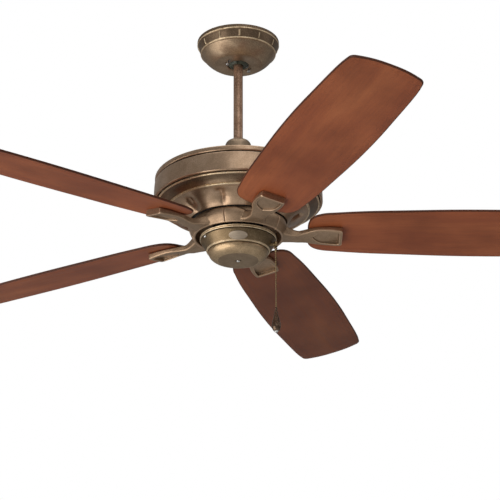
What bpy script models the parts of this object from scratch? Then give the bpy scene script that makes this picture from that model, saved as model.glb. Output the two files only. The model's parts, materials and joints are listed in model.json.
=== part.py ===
"""Five-blade ceiling fan on a short downrod, with a pull chain and no lamp.

The origin is the centre of the hanger bracket's top face, where it meets the ceiling.
+Z is up, the fan hangs towards -Z, and lengths are metres.
"""

import math

import bmesh
import bpy
from mathutils import Matrix

# Driving dimensions
BLADE_COUNT = 5
BLADE_STEP = math.tau / BLADE_COUNT
FIRST_BLADE = math.radians(1.33)
BLADE_Z = -0.4208
BLADE_PITCH = math.radians(12)
BLADE_THICKNESS = 0.0056
BLADE_ROOT = 0.138
BLADE_TIP = 0.767
BLADE_HALF_WIDTH = 0.0803
CANOPY_RADIUS = 0.084
CANOPY_DROP = 0.053
CANOPY_HOLE = 0.022
BALL_Z = -0.036
BALL_RADIUS = 0.025
ROD_RADIUS = 0.0095
ROD_BORE = 0.0075
ROD_TOP = -0.020
ROD_BOTTOM = -0.2665
SHAFT_RADIUS = 0.0085
SHAFT_BORE = 0.0050
HOUSING_RADIUS = 0.1688
SHEET = 0.0015
GAP = 0.0003
CHAIN_AZIMUTH = math.radians(-15)
CHAIN_RADIUS = 0.0765
CHAIN_THICKNESS = 0.0032
CHAIN_TOP = -0.4738
CHAIN_BOTTOM = -0.5882
FOB_BOTTOM = -0.6400
SCREW_AZIMUTH = math.radians(37)
SCREW_CIRCLE = 0.0270
SWITCH_SCREW_AZIMUTH = math.radians(-151)
SWITCH_SCREW_Z = -0.4450
REVERSE_Z = -0.4510
REVERSE_TRAVEL = 0.0060
CHAIN_EXIT_Z = -0.4555
CHAIN_PIVOT = -0.4672
BALL_PIN_Z = -0.0300
BALL_SCREW_Z = -0.0400
CLEVIS_Z = -0.2560
COUPLING_SCREW_Z = -0.2470
PIN_HOLE = 0.0034
SCREW_HOLE = 0.0029
PLUG_HOLE = 0.0057

# The three screws of each blade, from the hub's axis along the blade, and across it
SCREW_SPOTS = ((0.1560, 0.0), (0.1900, 0.0150), (0.1900, -0.0150))
HALF_FLAT = math.pi / 8
PANEL_SLOPE = math.radians(-2)
ALONG_X = (0, math.pi / 2, 0)
ALONG_Y = (math.pi / 2, 0, 0)

# Resolution of turned shapes
COARSE = 12
MEDIUM = 16
FINE = 24

# Heights of the motor, from its top cover to the flywheel
COVER_TOP = -0.3160
CORE_TOP = -0.3350
CORE_BOTTOM = -0.3600
COVER_SPLIT = -0.3475
COVER_BOTTOM = -0.3780
FLYWHEEL_BOTTOM = -0.4030

MATERIALS = {
    "bronze": ((0.20, 0.13, 0.07), 0.38, 0.9),
    "rod_bronze": ((0.24, 0.13, 0.08), 0.42, 0.9),
    "cherry": ((0.22, 0.06, 0.03), 0.40, 0.0),
    "steel": ((0.55, 0.55, 0.55), 0.30, 1.0),
    "zinc_steel": ((0.45, 0.46, 0.47), 0.45, 0.9),
    "ball_polymer": ((0.05, 0.07, 0.06), 0.50, 0.0),
    "laminations": ((0.30, 0.30, 0.31), 0.50, 0.8),
    "copper": ((0.60, 0.25, 0.12), 0.35, 0.9),
    "cast_aluminium": ((0.50, 0.50, 0.50), 0.50, 0.8),
    "black_plastic": ((0.03, 0.03, 0.03), 0.50, 0.0),
    "rubber": ((0.04, 0.04, 0.04), 0.80, 0.0),
    "wire_jacket": ((0.60, 0.60, 0.58), 0.50, 0.0),
    "brass_chain": ((0.50, 0.38, 0.20), 0.30, 1.0),
    "pale_badge": ((0.55, 0.47, 0.38), 0.35, 0.7),
}


def clear_scene():
    for obj in list(bpy.data.objects):
        bpy.data.objects.remove(obj, do_unlink=True)


def new_collection(name):
    collection = bpy.data.collections.new(name)
    bpy.context.scene.collection.children.link(collection)
    return collection


clear_scene()
PARTS = new_collection("ceiling_fan")
CUTTERS = new_collection("cutters")


def surface(name, object_name):
    """A new Principled material for one object, from the table above."""
    colour, roughness, metallic = MATERIALS[name]
    material = bpy.data.materials.new(f"{object_name}_{name}")
    material.use_nodes = True
    shader = material.node_tree.nodes["Principled BSDF"]
    shader.inputs["Base Color"].default_value = (*colour, 1)
    shader.inputs["Roughness"].default_value = roughness
    shader.inputs["Metallic"].default_value = metallic
    return material


def add_object(name, mesh, slot=None):
    """Link a mesh as a part with a material or, with no slot, as a hidden cutter."""
    obj = bpy.data.objects.new(name, mesh)
    if slot is None:
        CUTTERS.objects.link(obj)
        obj.hide_render = True
        obj.display_type = "WIRE"
    else:
        PARTS.objects.link(obj)
        if not mesh.materials:
            mesh.materials.append(surface(slot, name))
        mesh.shade_smooth()
        mesh.set_sharp_from_angle(angle=math.radians(35))
    return obj


def evaluated_mesh(obj, name):
    """The object's final mesh, welded, in its own space."""
    bpy.context.view_layer.update()
    graph = bpy.context.evaluated_depsgraph_get()
    mesh = bpy.data.meshes.new_from_object(obj.evaluated_get(graph), depsgraph=graph)
    mesh.name = name
    bm = bmesh.new()
    bm.from_mesh(mesh)
    bmesh.ops.remove_doubles(bm, verts=bm.verts, dist=0.00001)
    bm.to_mesh(mesh)
    bm.free()
    return mesh


def turned(name, profile, slot=None, steps=MEDIUM, closed=True, thickness=0.0):
    """A profile of (radius, z) turned about Z. An open profile with a thickness is a shell."""
    mesh = bpy.data.meshes.new(name)
    count = len(profile)
    edges = [(i, i + 1) for i in range(count - 1)]
    if closed:
        edges.append((count - 1, 0))
    mesh.from_pydata([(r, 0, z) for r, z in profile], edges, [])
    obj = add_object(name, mesh, slot)
    screw = obj.modifiers.new("Turn", "SCREW")
    screw.steps = steps
    screw.render_steps = steps
    screw.use_merge_vertices = True
    screw.merge_threshold = 0.00001
    if thickness:
        shell = obj.modifiers.new("Sheet", "SOLIDIFY")
        shell.thickness = thickness
        shell.offset = -1
    return obj


def solid_of_axis(name, profile, slot=None, steps=COARSE):
    """A turned solid whose profile starts and ends on the axis."""
    return turned(name, profile, slot, steps, closed=False)


def rod(name, radius, top, bottom, slot=None, steps=COARSE, bore=0.0):
    """A straight round bar along Z, or a tube where it has a bore."""
    if bore:
        profile = [(radius, top), (radius, bottom), (bore, bottom), (bore, top)]
        return turned(name, profile, slot, steps)
    profile = [(0, top), (radius, top), (radius, bottom), (0, bottom)]
    return solid_of_axis(name, profile, slot, steps)


def block(name, size, slot=None):
    """A box of the given X, Y and Z size about its own centre."""
    bm = bmesh.new()
    bmesh.ops.create_cube(bm, size=1, matrix=Matrix.Diagonal((*size, 1)))
    mesh = bpy.data.meshes.new(name)
    bm.to_mesh(mesh)
    bm.free()
    return add_object(name, mesh, slot)


def plate(name, outlines, thickness, slot=None):
    """Flat outlines in XY, the later ones holes in the first, with the thickness about z = 0."""
    curve = bpy.data.curves.new(name, "CURVE")
    curve.dimensions = "2D"
    curve.fill_mode = "BOTH"
    curve.extrude = thickness / 2
    for points in outlines:
        spline = curve.splines.new("POLY")
        spline.points.add(len(points) - 1)
        for point, (x, y) in zip(spline.points, points):
            point.co = (x, y, 0, 1)
        spline.use_cyclic_u = True
    guide = bpy.data.objects.new(f"{name}_outline", curve)
    CUTTERS.objects.link(guide)
    mesh = evaluated_mesh(guide, name)
    bpy.data.objects.remove(guide, do_unlink=True)
    return add_object(name, mesh, slot)


def circle(radius, count, centre=(0, 0)):
    return [
        (
            centre[0] + radius * math.cos(math.tau * i / count),
            centre[1] + radius * math.sin(math.tau * i / count),
        )
        for i in range(count)
    ]


def combine(obj, other, operation):
    """Cut, join or intersect by a Boolean that stays on the object."""
    modifier = obj.modifiers.new(operation.title(), "BOOLEAN")
    modifier.operation = operation
    modifier.solver = "EXACT"
    modifier.object = other
    return obj


def cut(obj, *others):
    for other in others:
        combine(obj, other, "DIFFERENCE")
    return obj


def join(obj, *others):
    for other in others:
        combine(obj, other, "UNION")
    return obj


def place(obj, location=(0, 0, 0), rotation=(0, 0, 0)):
    obj.location = location
    obj.rotation_euler = rotation
    return obj


def polar(radius, azimuth, z):
    return (radius * math.cos(azimuth), radius * math.sin(azimuth), z)


# Ceiling side: bracket, canopy and its screws


def hanger_bracket():
    """A bent steel strip that ends in the socket ring which the ball sits in."""
    top, side, foot = 0.068, 0.0625, 0.0300
    floor, wall, width = -0.0495, 0.0025, 0.0260
    toe = floor + 0.0015
    half = [(top, 0), (top, -0.0021), (side, -0.0030), (foot + wall, toe), (foot, toe)]
    inner = [(foot, toe + 0.003), (side - 0.004, -wall)]
    right = half + inner
    left = [(-x, z) for x, z in reversed(right)]
    strip = plate("hanger_bracket", [right + left], width, "zinc_steel")
    strip.data.transform(Matrix.Rotation(math.pi / 2, 4, "X"))

    rim, clear = 0.0330, (BALL_RADIUS + GAP) / math.cos(math.pi / FINE)
    seat = [(rim, -0.0400), (rim, floor)]
    for height in (floor, -0.0450, -0.0400):
        seat.append((math.sqrt(clear**2 - (height - BALL_Z) ** 2), height))
    socket = turned("socket_ring", seat, steps=FINE)
    mouth = place(block("socket_mouth", (0.0240, 0.0300, 0.0300)), (0, 0.0300, -0.0450))
    tab = place(block("socket_tab", (0.0040, 0.0060, 0.0080)), (0, -0.0250, -0.0450))
    slots = []
    wire_holes = []
    for end in (-1, 1):
        slot = block(f"bracket_slot_{end}", (0.0120, 0.0050, 0.0100))
        slots.append(place(slot, (end * 0.0445, 0, 0)))
        hole = rod(f"bracket_wire_hole_{end}", 0.0050, 0.01, -0.01)
        wire_holes.append(place(hole, (end * 0.021, 0, 0)))
    screw_holes = [
        place(
            rod(f"socket_screw_hole_{turn}", 0.0024, -0.03, -0.06, steps=10),
            polar(SCREW_CIRCLE, SCREW_AZIMUTH + turn * math.pi, 0),
        )
        for turn in (0, 1)
    ]
    cut(socket, mouth, *screw_holes)
    cut(strip, *slots, *wire_holes)
    join(strip, socket, tab)


def canopy():
    profile = [
        (CANOPY_RADIUS, -0.0004),
        (CANOPY_RADIUS, -0.0070),
        (0.0832, -0.0095),
        (0.0766, -0.0262),
        (0.0742, -0.0285),
        (0.0690, -0.0365),
        (0.0605, -0.0455),
        (0.0495, -CANOPY_DROP),
        (CANOPY_HOLE, -CANOPY_DROP),
    ]
    shell = turned("canopy", profile, "bronze", FINE, closed=False, thickness=SHEET)
    for turn in (0, 1):
        azimuth = SCREW_AZIMUTH + turn * math.pi
        keyhole = place(
            block(f"canopy_keyhole_{turn}", (0.0050, 0.0130, 0.0100)),
            polar(SCREW_CIRCLE, azimuth, -CANOPY_DROP),
            (0, 0, azimuth),
        )
        cut(shell, keyhole)
    return shell


def canopy_screws():
    head = -CANOPY_DROP - 0.0040
    for number in (1, 2):
        profile = [
            (0, -0.0440),
            (0.0020, -0.0440),
            (0.0020, head),
            (0.0042, head),
            (0.0042, head - 0.0018),
            (0.0030, head - 0.0030),
            (0, head - 0.0030),
        ]
        screw = solid_of_axis(f"canopy_screw_{number}", profile, "steel")
        place(screw, polar(SCREW_CIRCLE, SCREW_AZIMUTH + (number - 1) * math.pi, 0))


# Hanging side: ball, downrod, coupling and motor shaft


def hanger_ball():
    """A bored ball with a groove that keys on the bracket's tab."""
    top, bottom, rings = 0.0205, -0.0195, 6
    start = math.asin(top / BALL_RADIUS)
    end = math.asin(bottom / BALL_RADIUS)
    angles = [start + (end - start) * i / rings for i in range(rings + 1)]
    bore = ROD_RADIUS + GAP
    profile = [(BALL_RADIUS * math.cos(a), BALL_RADIUS * math.sin(a)) for a in angles]
    profile += [(bore, bottom), (bore, top)]
    ball = place(turned("hanger_ball", profile, "ball_polymer"), (0, 0, BALL_Z))
    groove = rod("ball_groove", 0.0300, 0.0026, -0.0026, steps=FINE, bore=0.0210)
    place(groove, (0, 0, BALL_Z), ALONG_X)
    keyed_side = place(block("keyed_side", (0.0200, 0.0300, 0.0800)), (0, -0.0200, BALL_Z))
    combine(groove, keyed_side, "INTERSECT")
    pin_hole = place(rod("ball_pin_hole", PIN_HOLE, 0.03, -0.03), (0, 0, BALL_PIN_Z), ALONG_X)
    screw_hole = rod("ball_screw_hole", SCREW_HOLE, 0.0300, 0.0050)
    place(screw_hole, (0, 0, BALL_SCREW_Z), (-math.pi / 2, 0, 0))
    cut(ball, groove, pin_hole, screw_hole)

    place(rod("ball_pin", 0.0030, 0.0232, -0.0232, "steel"), (0, 0, BALL_PIN_Z), ALONG_X)
    screw = rod("ball_set_screw", 0.0025, 0.0225, ROD_RADIUS + GAP, "steel", 10)
    place(screw, (0, 0, BALL_SCREW_Z), (-math.pi / 2, 0, 0))


def downrod():
    tube = rod("downrod", ROD_RADIUS, ROD_TOP, ROD_BOTTOM, "rod_bronze", MEDIUM, bore=ROD_BORE)
    upper = place(rod("rod_pin_hole", PIN_HOLE, 0.02, -0.02), (0, 0, BALL_PIN_Z), ALONG_X)
    lower = place(rod("rod_clevis_hole", PIN_HOLE, 0.02, -0.02), (0, 0, CLEVIS_Z), ALONG_X)
    cut(tube, upper, lower)


def lead_wires():
    """The supply leads, which come up through the rod and lie over inside the canopy."""
    beside_pin = 0.0053
    route = [
        (0.0000, beside_pin, -0.2640),
        (0.0000, beside_pin, -0.0500),
        (0.0000, beside_pin, -0.0230),
        (0.0030, beside_pin, -0.0145),
        (0.0090, beside_pin, -0.0110),
        (0.0170, beside_pin, -0.0120),
        (0.0230, beside_pin, -0.0165),
    ]
    curve = bpy.data.curves.new("lead_wires", "CURVE")
    curve.dimensions = "3D"
    curve.bevel_depth = 0.0018
    curve.bevel_resolution = 2
    curve.use_fill_caps = True
    spline = curve.splines.new("POLY")
    spline.points.add(len(route) - 1)
    for point, place_at in zip(spline.points, route):
        point.co = (*place_at, 1)
    curve.materials.append(surface("wire_jacket", "lead_wires"))
    wires = bpy.data.objects.new("lead_wires", curve)
    PARTS.objects.link(wires)


def coupling():
    """The bell cover, the coupling that joins rod and shaft, its clevis pin and its set screws."""
    bell = [
        (0.0102, -0.2232),
        (0.0160, -0.2235),
        (0.0225, -0.2265),
        (0.0268, -0.2350),
        (0.0285, -0.2480),
        (0.0300, -0.2800),
    ]
    turned("coupling_cover", bell, "bronze", MEDIUM, closed=False, thickness=0.0012)

    seat = -0.2680
    profile = [
        (0.0145, -0.2400),
        (0.0145, -0.2720),
        (0.0220, -0.2720),
        (0.0220, -0.2800),
        (SHAFT_RADIUS + GAP, -0.2800),
        (SHAFT_RADIUS + GAP, seat),
        (ROD_RADIUS + GAP, seat),
        (ROD_RADIUS + GAP, -0.2400),
    ]
    yoke = turned("shaft_coupling", profile, "zinc_steel", MEDIUM)
    pin_hole = place(rod("yoke_pin_hole", PIN_HOLE, 0.03, -0.03), (0, 0, CLEVIS_Z), ALONG_X)
    screw_hole = rod("yoke_screw_hole", SCREW_HOLE, 0.03, -0.03)
    place(screw_hole, (0, 0, COUPLING_SCREW_Z), ALONG_Y)
    cut(yoke, pin_hole, screw_hole)

    clevis = [
        (0, 0.0205),
        (0.0046, 0.0205),
        (0.0046, 0.0180),
        (0.0030, 0.0180),
        (0.0030, -0.0205),
        (0, -0.0205),
    ]
    place(solid_of_axis("clevis_pin", clevis, "steel"), (0, 0, CLEVIS_Z), ALONG_X)
    for number, turn in ((1, math.pi / 2), (2, -math.pi / 2)):
        screw = rod(f"coupling_screw_{number}", 0.0025, 0.0190, ROD_RADIUS + GAP, "steel", 10)
        place(screw, (0, 0, COUPLING_SCREW_Z), (turn, 0, 0))


def motor_shaft():
    rod("motor_shaft", SHAFT_RADIUS, -0.2683, -0.4470, "steel", MEDIUM, bore=SHAFT_BORE)


# Motor: the core is fixed to the shaft and the covers turn round it


def stator():
    slots = 12
    rim, floor, hub = 0.0620, 0.0440, SHAFT_RADIUS + GAP
    outline = []
    for i in range(slots):
        centre = math.tau * i / slots
        for radius, offset in ((rim, -0.20), (rim, 0.0), (rim, 0.20), (floor, 0.14), (floor, 0.3836)):
            outline.append((radius * math.cos(centre + offset), radius * math.sin(centre + offset)))
    height = CORE_TOP - CORE_BOTTOM
    core = plate("stator_core", [outline, circle(hub, 24)], height, "laminations")
    place(core, (0, 0, (CORE_TOP + CORE_BOTTOM) / 2))
    for name, near, far in (
        ("winding_upper", CORE_TOP + GAP, CORE_TOP + 0.0120),
        ("winding_lower", CORE_BOTTOM - GAP, CORE_BOTTOM - 0.0120),
    ):
        top, bottom = max(near, far), min(near, far)
        profile = [
            (0.0540, top),
            (0.0590, top - 0.004),
            (0.0590, bottom + 0.004),
            (0.0540, bottom),
            (0.0430, bottom),
            (0.0380, bottom + 0.004),
            (0.0380, top - 0.004),
            (0.0430, top),
        ]
        turned(name, profile, "copper", MEDIUM)


def rotor():
    bearing_bore, bearing_rim, seat, hub = SHAFT_RADIUS + 0.0004, 0.0152, 0.0155, 0.0240
    ring_inner, ring_outer, skirt = 0.0636, 0.0781, 0.0820
    wall, hub_height = 0.0035, 0.0095
    upper = [
        (hub, COVER_TOP + hub_height),
        (hub, COVER_TOP),
        (0.0760, COVER_TOP),
        (skirt, COVER_TOP - 0.005),
        (skirt, COVER_SPLIT),
        (ring_outer + 0.0004, COVER_SPLIT),
        (ring_outer + 0.0004, COVER_TOP - 0.007),
        (0.0740, COVER_TOP - wall),
        (seat, COVER_TOP - wall),
        (seat, COVER_TOP + hub_height),
    ]
    turned("rotor_cover_top", upper, "cast_aluminium", FINE)
    lower = [
        (skirt, COVER_SPLIT - GAP),
        (skirt, COVER_BOTTOM + 0.005),
        (0.0760, COVER_BOTTOM),
        (hub, COVER_BOTTOM),
        (hub, COVER_BOTTOM - hub_height),
        (seat, COVER_BOTTOM - hub_height),
        (seat, COVER_BOTTOM + wall),
        (0.0740, COVER_BOTTOM + wall),
        (ring_outer + 0.0004, COVER_BOTTOM + 0.007),
        (ring_outer + 0.0004, COVER_SPLIT - GAP),
    ]
    turned("rotor_cover_bottom", lower, "cast_aluminium", FINE)
    rod("rotor_ring", ring_outer, -0.3300, -0.3650, "laminations", FINE, bore=ring_inner)
    for name, near, far in (
        ("bearing_upper", COVER_TOP + 0.0090, COVER_TOP + 0.0005),
        ("bearing_lower", COVER_BOTTOM - 0.0005, COVER_BOTTOM - 0.0090),
    ):
        rod(name, bearing_rim, near, far, "steel", MEDIUM, bore=bearing_bore)
    flywheel = [
        (0.0500, COVER_BOTTOM - GAP),
        (0.0500, -0.3920),
        (0.0915, -0.3920),
        (0.0915, FLYWHEEL_BOTTOM),
        (0.0300, FLYWHEEL_BOTTOM),
        (0.0300, COVER_BOTTOM - GAP),
    ]
    turned("flywheel", flywheel, "rubber", FINE)


# Decorative housing round the motor, which does not turn


def housing():
    top = [
        (0.0105, -0.2803),
        (0.0320, -0.2803),
        (0.0450, -0.2830),
        (0.0800, -0.2880),
        (0.1200, -0.2955),
        (0.1500, -0.3030),
        (0.1636, -0.3072),
    ]
    cover = turned("housing_top", top, "bronze", FINE, closed=False, thickness=SHEET)
    vents = 8
    for i in range(vents):
        azimuth = math.tau * (i + 0.5) / vents
        slot = block(f"housing_vent_{i}", (0.0300, 0.0060, 0.0400))
        cut(cover, place(slot, polar(0.1000, azimuth, -0.2920), (0, 0, azimuth)))

    band = [
        (0.1643, -0.3078),
        (0.1668, -0.3092),
        (0.1668, -0.3170),
        (0.1654, -0.3185),
        (0.1654, -0.3205),
        (0.1672, -0.3218),
        (HOUSING_RADIUS, -0.3585),
        (HOUSING_RADIUS - 0.0012, -0.3606),
        (0.1640, -0.3608),
    ]
    turned("housing_band", band, "bronze", FINE, closed=False, thickness=SHEET)

    bowl = [
        (0.1600, -0.3613),
        (0.1626, -0.3618),
        (0.1612, -0.3641),
        (0.1530, -0.3665),
        (0.1440, -0.3735),
        (0.1408, -0.3772),
        (0.1390, -0.3796),
        (0.1340, -0.3800),
        (0.1200, -0.3886),
        (0.1010, -0.4048),
        (0.0975, -0.4050),
    ]
    turned("housing_bowl", bowl, "bronze", FINE, closed=False, thickness=SHEET)


# Blade arms and blades


def blade_outline():
    """The blade's edge in its own plane: a widening plank with round corners and a bowed tip."""
    half = [
        (BLADE_ROOT, 0.0000),
        (BLADE_ROOT + 0.0010, 0.0340),
        (BLADE_ROOT + 0.0070, 0.0490),
        (BLADE_ROOT + 0.0220, 0.0600),
        (BLADE_ROOT + 0.0550, 0.0660),
        (0.3440, 0.0762),
        (0.4800, BLADE_HALF_WIDTH),
        (0.6000, 0.0778),
        (0.7390, 0.0697),
        (0.7520, 0.0655),
        (0.7580, 0.0555),
        (BLADE_TIP, 0.0000),
    ]
    return half


def blade_mesh():
    """A Bezier outline through the half outline's points and their mirror images."""
    half = blade_outline()
    points = half + [(x, -y) for x, y in reversed(half[1:-1])]
    curve = bpy.data.curves.new("blade_curve", "CURVE")
    curve.dimensions = "2D"
    curve.fill_mode = "BOTH"
    curve.extrude = BLADE_THICKNESS / 2
    curve.resolution_u = 2
    spline = curve.splines.new("BEZIER")
    spline.bezier_points.add(len(points) - 1)
    for bezier, (x, y) in zip(spline.bezier_points, points):
        bezier.co = (x, y, 0)
        bezier.handle_left_type = "AUTO"
        bezier.handle_right_type = "AUTO"
    spline.use_cyclic_u = True
    guide = bpy.data.objects.new("blade_guide", curve)
    CUTTERS.objects.link(guide)
    mesh = evaluated_mesh(guide, "blade")
    bpy.data.objects.remove(guide, do_unlink=True)

    blank = add_object("blade_blank", mesh)
    for index, (x, y) in enumerate(SCREW_SPOTS):
        hole = rod(f"blade_hole_{index}", 0.0030, 0.02, -0.02, steps=8)
        cut(blank, place(hole, (x, y, 0), (0, 0, HALF_FLAT)))
    drilled = evaluated_mesh(blank, "blade")
    return drilled


def tilted(azimuth, z=BLADE_Z):
    """The frame of one blade: X outward, tilted so that its counter-clockwise edge is lower."""
    return (
        Matrix.Translation((0, 0, z))
        @ Matrix.Rotation(azimuth, 4, "Z")
        @ Matrix.Rotation(-BLADE_PITCH, 4, "X")
    )


def arm_section(station):
    """An eight-sided section across the arm, rolled about its own top centre."""
    x, half, top, height, roll = station
    chamfer = min(0.0018, height * 0.3)
    corners = [
        (half - chamfer, 0),
        (half, -chamfer),
        (half, -height + chamfer),
        (half - chamfer, -height),
        (-half + chamfer, -height),
        (-half, -height + chamfer),
        (-half, -chamfer),
        (-half + chamfer, 0),
    ]
    turn = -BLADE_PITCH * roll
    return [
        (x, y * math.cos(turn) - z * math.sin(turn), top + y * math.sin(turn) + z * math.cos(turn))
        for y, z in corners
    ]


def arm_stations():
    """(distance out, half width, top, height, share of the blade's pitch) from hub to pad end."""
    under_blade = BLADE_Z - BLADE_THICKNESS / 2 / math.cos(BLADE_PITCH) - 0.0005
    return [
        (0.0870, 0.0340, -0.4185, 0.0170, 0.0),
        (0.0960, 0.0260, -0.4200, 0.0165, 0.0),
        (0.1060, 0.0190, -0.4220, 0.0150, 0.15),
        (0.1180, 0.0155, -0.4245, 0.0125, 0.5),
        (0.1300, 0.0170, -0.4240, 0.0115, 0.9),
        (0.1390, 0.0195, under_blade, 0.0110, 1.0),
        (0.1500, 0.0235, under_blade, 0.0105, 1.0),
        (0.1650, 0.0260, under_blade, 0.0105, 1.0),
        (0.1850, 0.0268, under_blade, 0.0120, 1.0),
        (0.2020, 0.0252, under_blade, 0.0135, 1.0),
        (0.2060, 0.0215, under_blade, 0.0130, 1.0),
    ]


def loft(name, sections, slot=None):
    """Join sections of equal point count into one closed body."""
    count = len(sections[0])
    verts = [point for section in sections for point in section]
    faces = [tuple(range(count))]
    for i in range(len(sections) - 1):
        for j in range(count):
            a, b = i * count + j, i * count + (j + 1) % count
            faces.append((a, a + count, b + count, b))
    last = (len(sections) - 1) * count
    faces.append(tuple(last + j for j in reversed(range(count))))
    mesh = bpy.data.meshes.new(name)
    mesh.from_pydata(verts, [], faces)
    bm = bmesh.new()
    bm.from_mesh(mesh)
    bmesh.ops.recalc_face_normals(bm, faces=bm.faces)
    bm.to_mesh(mesh)
    bm.free()
    return add_object(name, mesh, slot)


def arm_mesh():
    """A sector of the hub skirt that runs out as a swan neck into the pad under the blade."""
    skirt = [
        (0.0920, FLYWHEEL_BOTTOM - GAP),
        (0.0920, -0.4145),
        (0.0990, -0.4160),
        (0.0988, -0.4180),
        (0.0905, -0.4345),
        (0.0880, -0.4360),
        (0.0845, -0.4350),
        (0.0845, -0.4080),
        (0.0500, -0.4080),
        (0.0500, FLYWHEEL_BOTTOM - GAP),
    ]
    ring = turned("arm_ring", skirt, steps=40)
    reach, seam = 0.16, math.radians(0.25)
    spread = BLADE_STEP / 2 - seam
    corners = [(0, 0)] + [
        (reach * math.cos(spread * t), reach * math.sin(spread * t)) for t in (-1, -0.5, 0, 0.5, 1)
    ]
    sector = place(plate("arm_sector", [corners], 0.1), (0, 0, -0.42))
    combine(ring, sector, "INTERSECT")

    dip_radius = 0.040
    dip = rod("arm_dip", dip_radius, 0.13, 0.0895, steps=32)
    place(dip, (0, 0, -0.4225 + dip_radius), (0, math.pi / 2, 0))
    cut(ring, dip)

    neck = loft("arm_neck", [arm_section(s) for s in arm_stations()])
    join(ring, neck)

    panel = [(0.1480, 0), (0.1640, 0.0185), (0.1850, 0.0210), (0.2000, 0.0185)]
    panel += [(x, -y) for x, y in reversed(panel[1:])]
    recess = plate("pad_recess", [panel], 0.0080)
    recess.matrix_world = (
        tilted(0) @ Matrix.Translation((0.175, 0, -0.0160)) @ Matrix.Rotation(PANEL_SLOPE, 4, "Y")
        @ Matrix.Translation((-0.175, 0, 0))
    )
    cut(ring, recess)
    for index, (x, y) in enumerate(SCREW_SPOTS):
        hole = rod(f"pad_hole_{index}", 0.0030, 0.0, -0.0110, steps=8)
        hole.matrix_world = tilted(0) @ Matrix.Translation((x, y, 0))
        cut(ring, hole)
    return evaluated_mesh(ring, "blade_arm")


def screw_plate_mesh():
    """The plate on a blade's top with its three screws, joined as one body."""
    base = BLADE_THICKNESS / 2 + GAP
    outline = [(0.1460, -0.0080), (0.1460, 0.0080), (0.1880, 0.0245), (0.2000, 0.0245)]
    outline += [(0.2000, -0.0245), (0.1880, -0.0245)]
    sheet = plate("screw_plate", [outline], 0.0015)
    place(sheet, (0, 0, base + 0.00075))
    for index, (x, y) in enumerate(SCREW_SPOTS):
        profile = [
            (0, base + 0.0035),
            (0.0030, base + 0.0035),
            (0.0045, base + 0.0010),
            (0.0024, base + 0.0005),
            (0.0024, -0.0100),
            (0, -0.0100),
        ]
        screw = solid_of_axis(f"blade_screw_{index}", profile, steps=8)
        join(sheet, place(screw, (x, y, 0)))
    mesh = evaluated_mesh(sheet, "blade_plate")
    mesh.transform(Matrix.Translation(sheet.location))
    return mesh


def copies(name, mesh, slot, frame_of):
    """One object for each blade position, sharing the mesh."""
    mesh.materials.clear()
    mesh.materials.append(surface(slot, name))
    for number in range(BLADE_COUNT):
        azimuth = FIRST_BLADE + number * BLADE_STEP
        obj = add_object(f"{name}_{number + 1}", mesh, slot)
        obj.matrix_world = frame_of(azimuth)


def blades():
    copies("blade_arm", arm_mesh(), "bronze", lambda azimuth: Matrix.Rotation(azimuth, 4, "Z"))
    copies("blade", blade_mesh(), "cherry", tilted)
    copies("blade_plate", screw_plate_mesh(), "bronze", tilted)


# Switch housing under the motor


def switch_housing():
    rod("switch_plate", 0.0715, -0.4388, -0.4408, "zinc_steel", MEDIUM, bore=SHAFT_RADIUS + GAP)
    nut_top, nut_bottom = -0.4411, -0.4465
    hexagon = [circle(0.0130, 6), circle(SHAFT_RADIUS + GAP, 24)]
    nut = plate("shaft_nut", hexagon, nut_top - nut_bottom, "steel")
    place(nut, (0, 0, (nut_top + nut_bottom) / 2))

    shell = [
        (0.0738, -0.4372),
        (0.0758, -0.4380),
        (0.0758, -0.4400),
        (0.0742, -0.4412),
        (0.0741, -0.4430),
        (0.0624, -0.4620),
        (0.0605, -0.4650),
        (0.0585, -0.4652),
    ]
    body = turned("switch_housing", shell, "bronze", FINE, closed=False, thickness=0.0013)
    bore = rod("bushing_bore", 0.0037, 0.09, 0.05, steps=COARSE)
    place(bore, (0, 0, CHAIN_EXIT_Z), (0, math.pi / 2, CHAIN_AZIMUTH))
    slot = place(block("reverse_slot", (0.0124, 0.0400, 0.0050)), (0, 0.0700, REVERSE_Z))
    cut(body, bore, slot)
    for turn in (0, 1):
        hole = rod(f"housing_screw_hole_{turn}", 0.0022, 0.09, 0.06, steps=10)
        azimuth = SWITCH_SCREW_AZIMUTH + turn * math.pi
        cut(body, place(hole, (0, 0, SWITCH_SCREW_Z), (0, math.pi / 2, azimuth)))
        head = [
            (0, 0.0765),
            (0.0018, 0.0765),
            (0.0030, 0.0757),
            (0.0030, 0.0748),
            (0.0018, 0.0748),
            (0.0018, 0.0700),
            (0, 0.0700),
        ]
        screw = solid_of_axis(f"housing_screw_{turn + 1}", head, "steel")
        place(screw, (0, 0, SWITCH_SCREW_Z), (0, math.pi / 2, azimuth))

    cap = [
        (0.0575, -0.4655),
        (0.0592, -0.4660),
        (0.0590, -0.4690),
        (0.0555, -0.4755),
        (0.0480, -0.4810),
        (0.0390, -0.4833),
        (PLUG_HOLE, -0.4833),
    ]
    turned("switch_cap", cap, "bronze", FINE, closed=False, thickness=0.0013)
    plug = [
        (0, -0.4800),
        (0.0072, -0.4800),
        (0.0072, -0.4817),
        (0.0038, -0.4817),
        (0.0038, -0.4840),
        (0.0026, -0.4852),
        (0, -0.4856),
    ]
    solid_of_axis("cap_plug", plug, "steel", 16)


def badge():
    """A plain oval plate on the tapering side of the switch housing."""
    length, height, thick, count = 0.0370, 0.0185, 0.0012, 20
    oval = [(length / 2 * x, height / 2 * y) for x, y in circle(1, count)]
    oval_plate = plate("badge", [oval], thick, "pale_badge")
    slope = math.atan2(0.0741 - 0.0624, 0.4620 - 0.4430)
    place(oval_plate, (0, -0.0678, -0.4560), (math.pi / 2 + slope, 0, 0))


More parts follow.
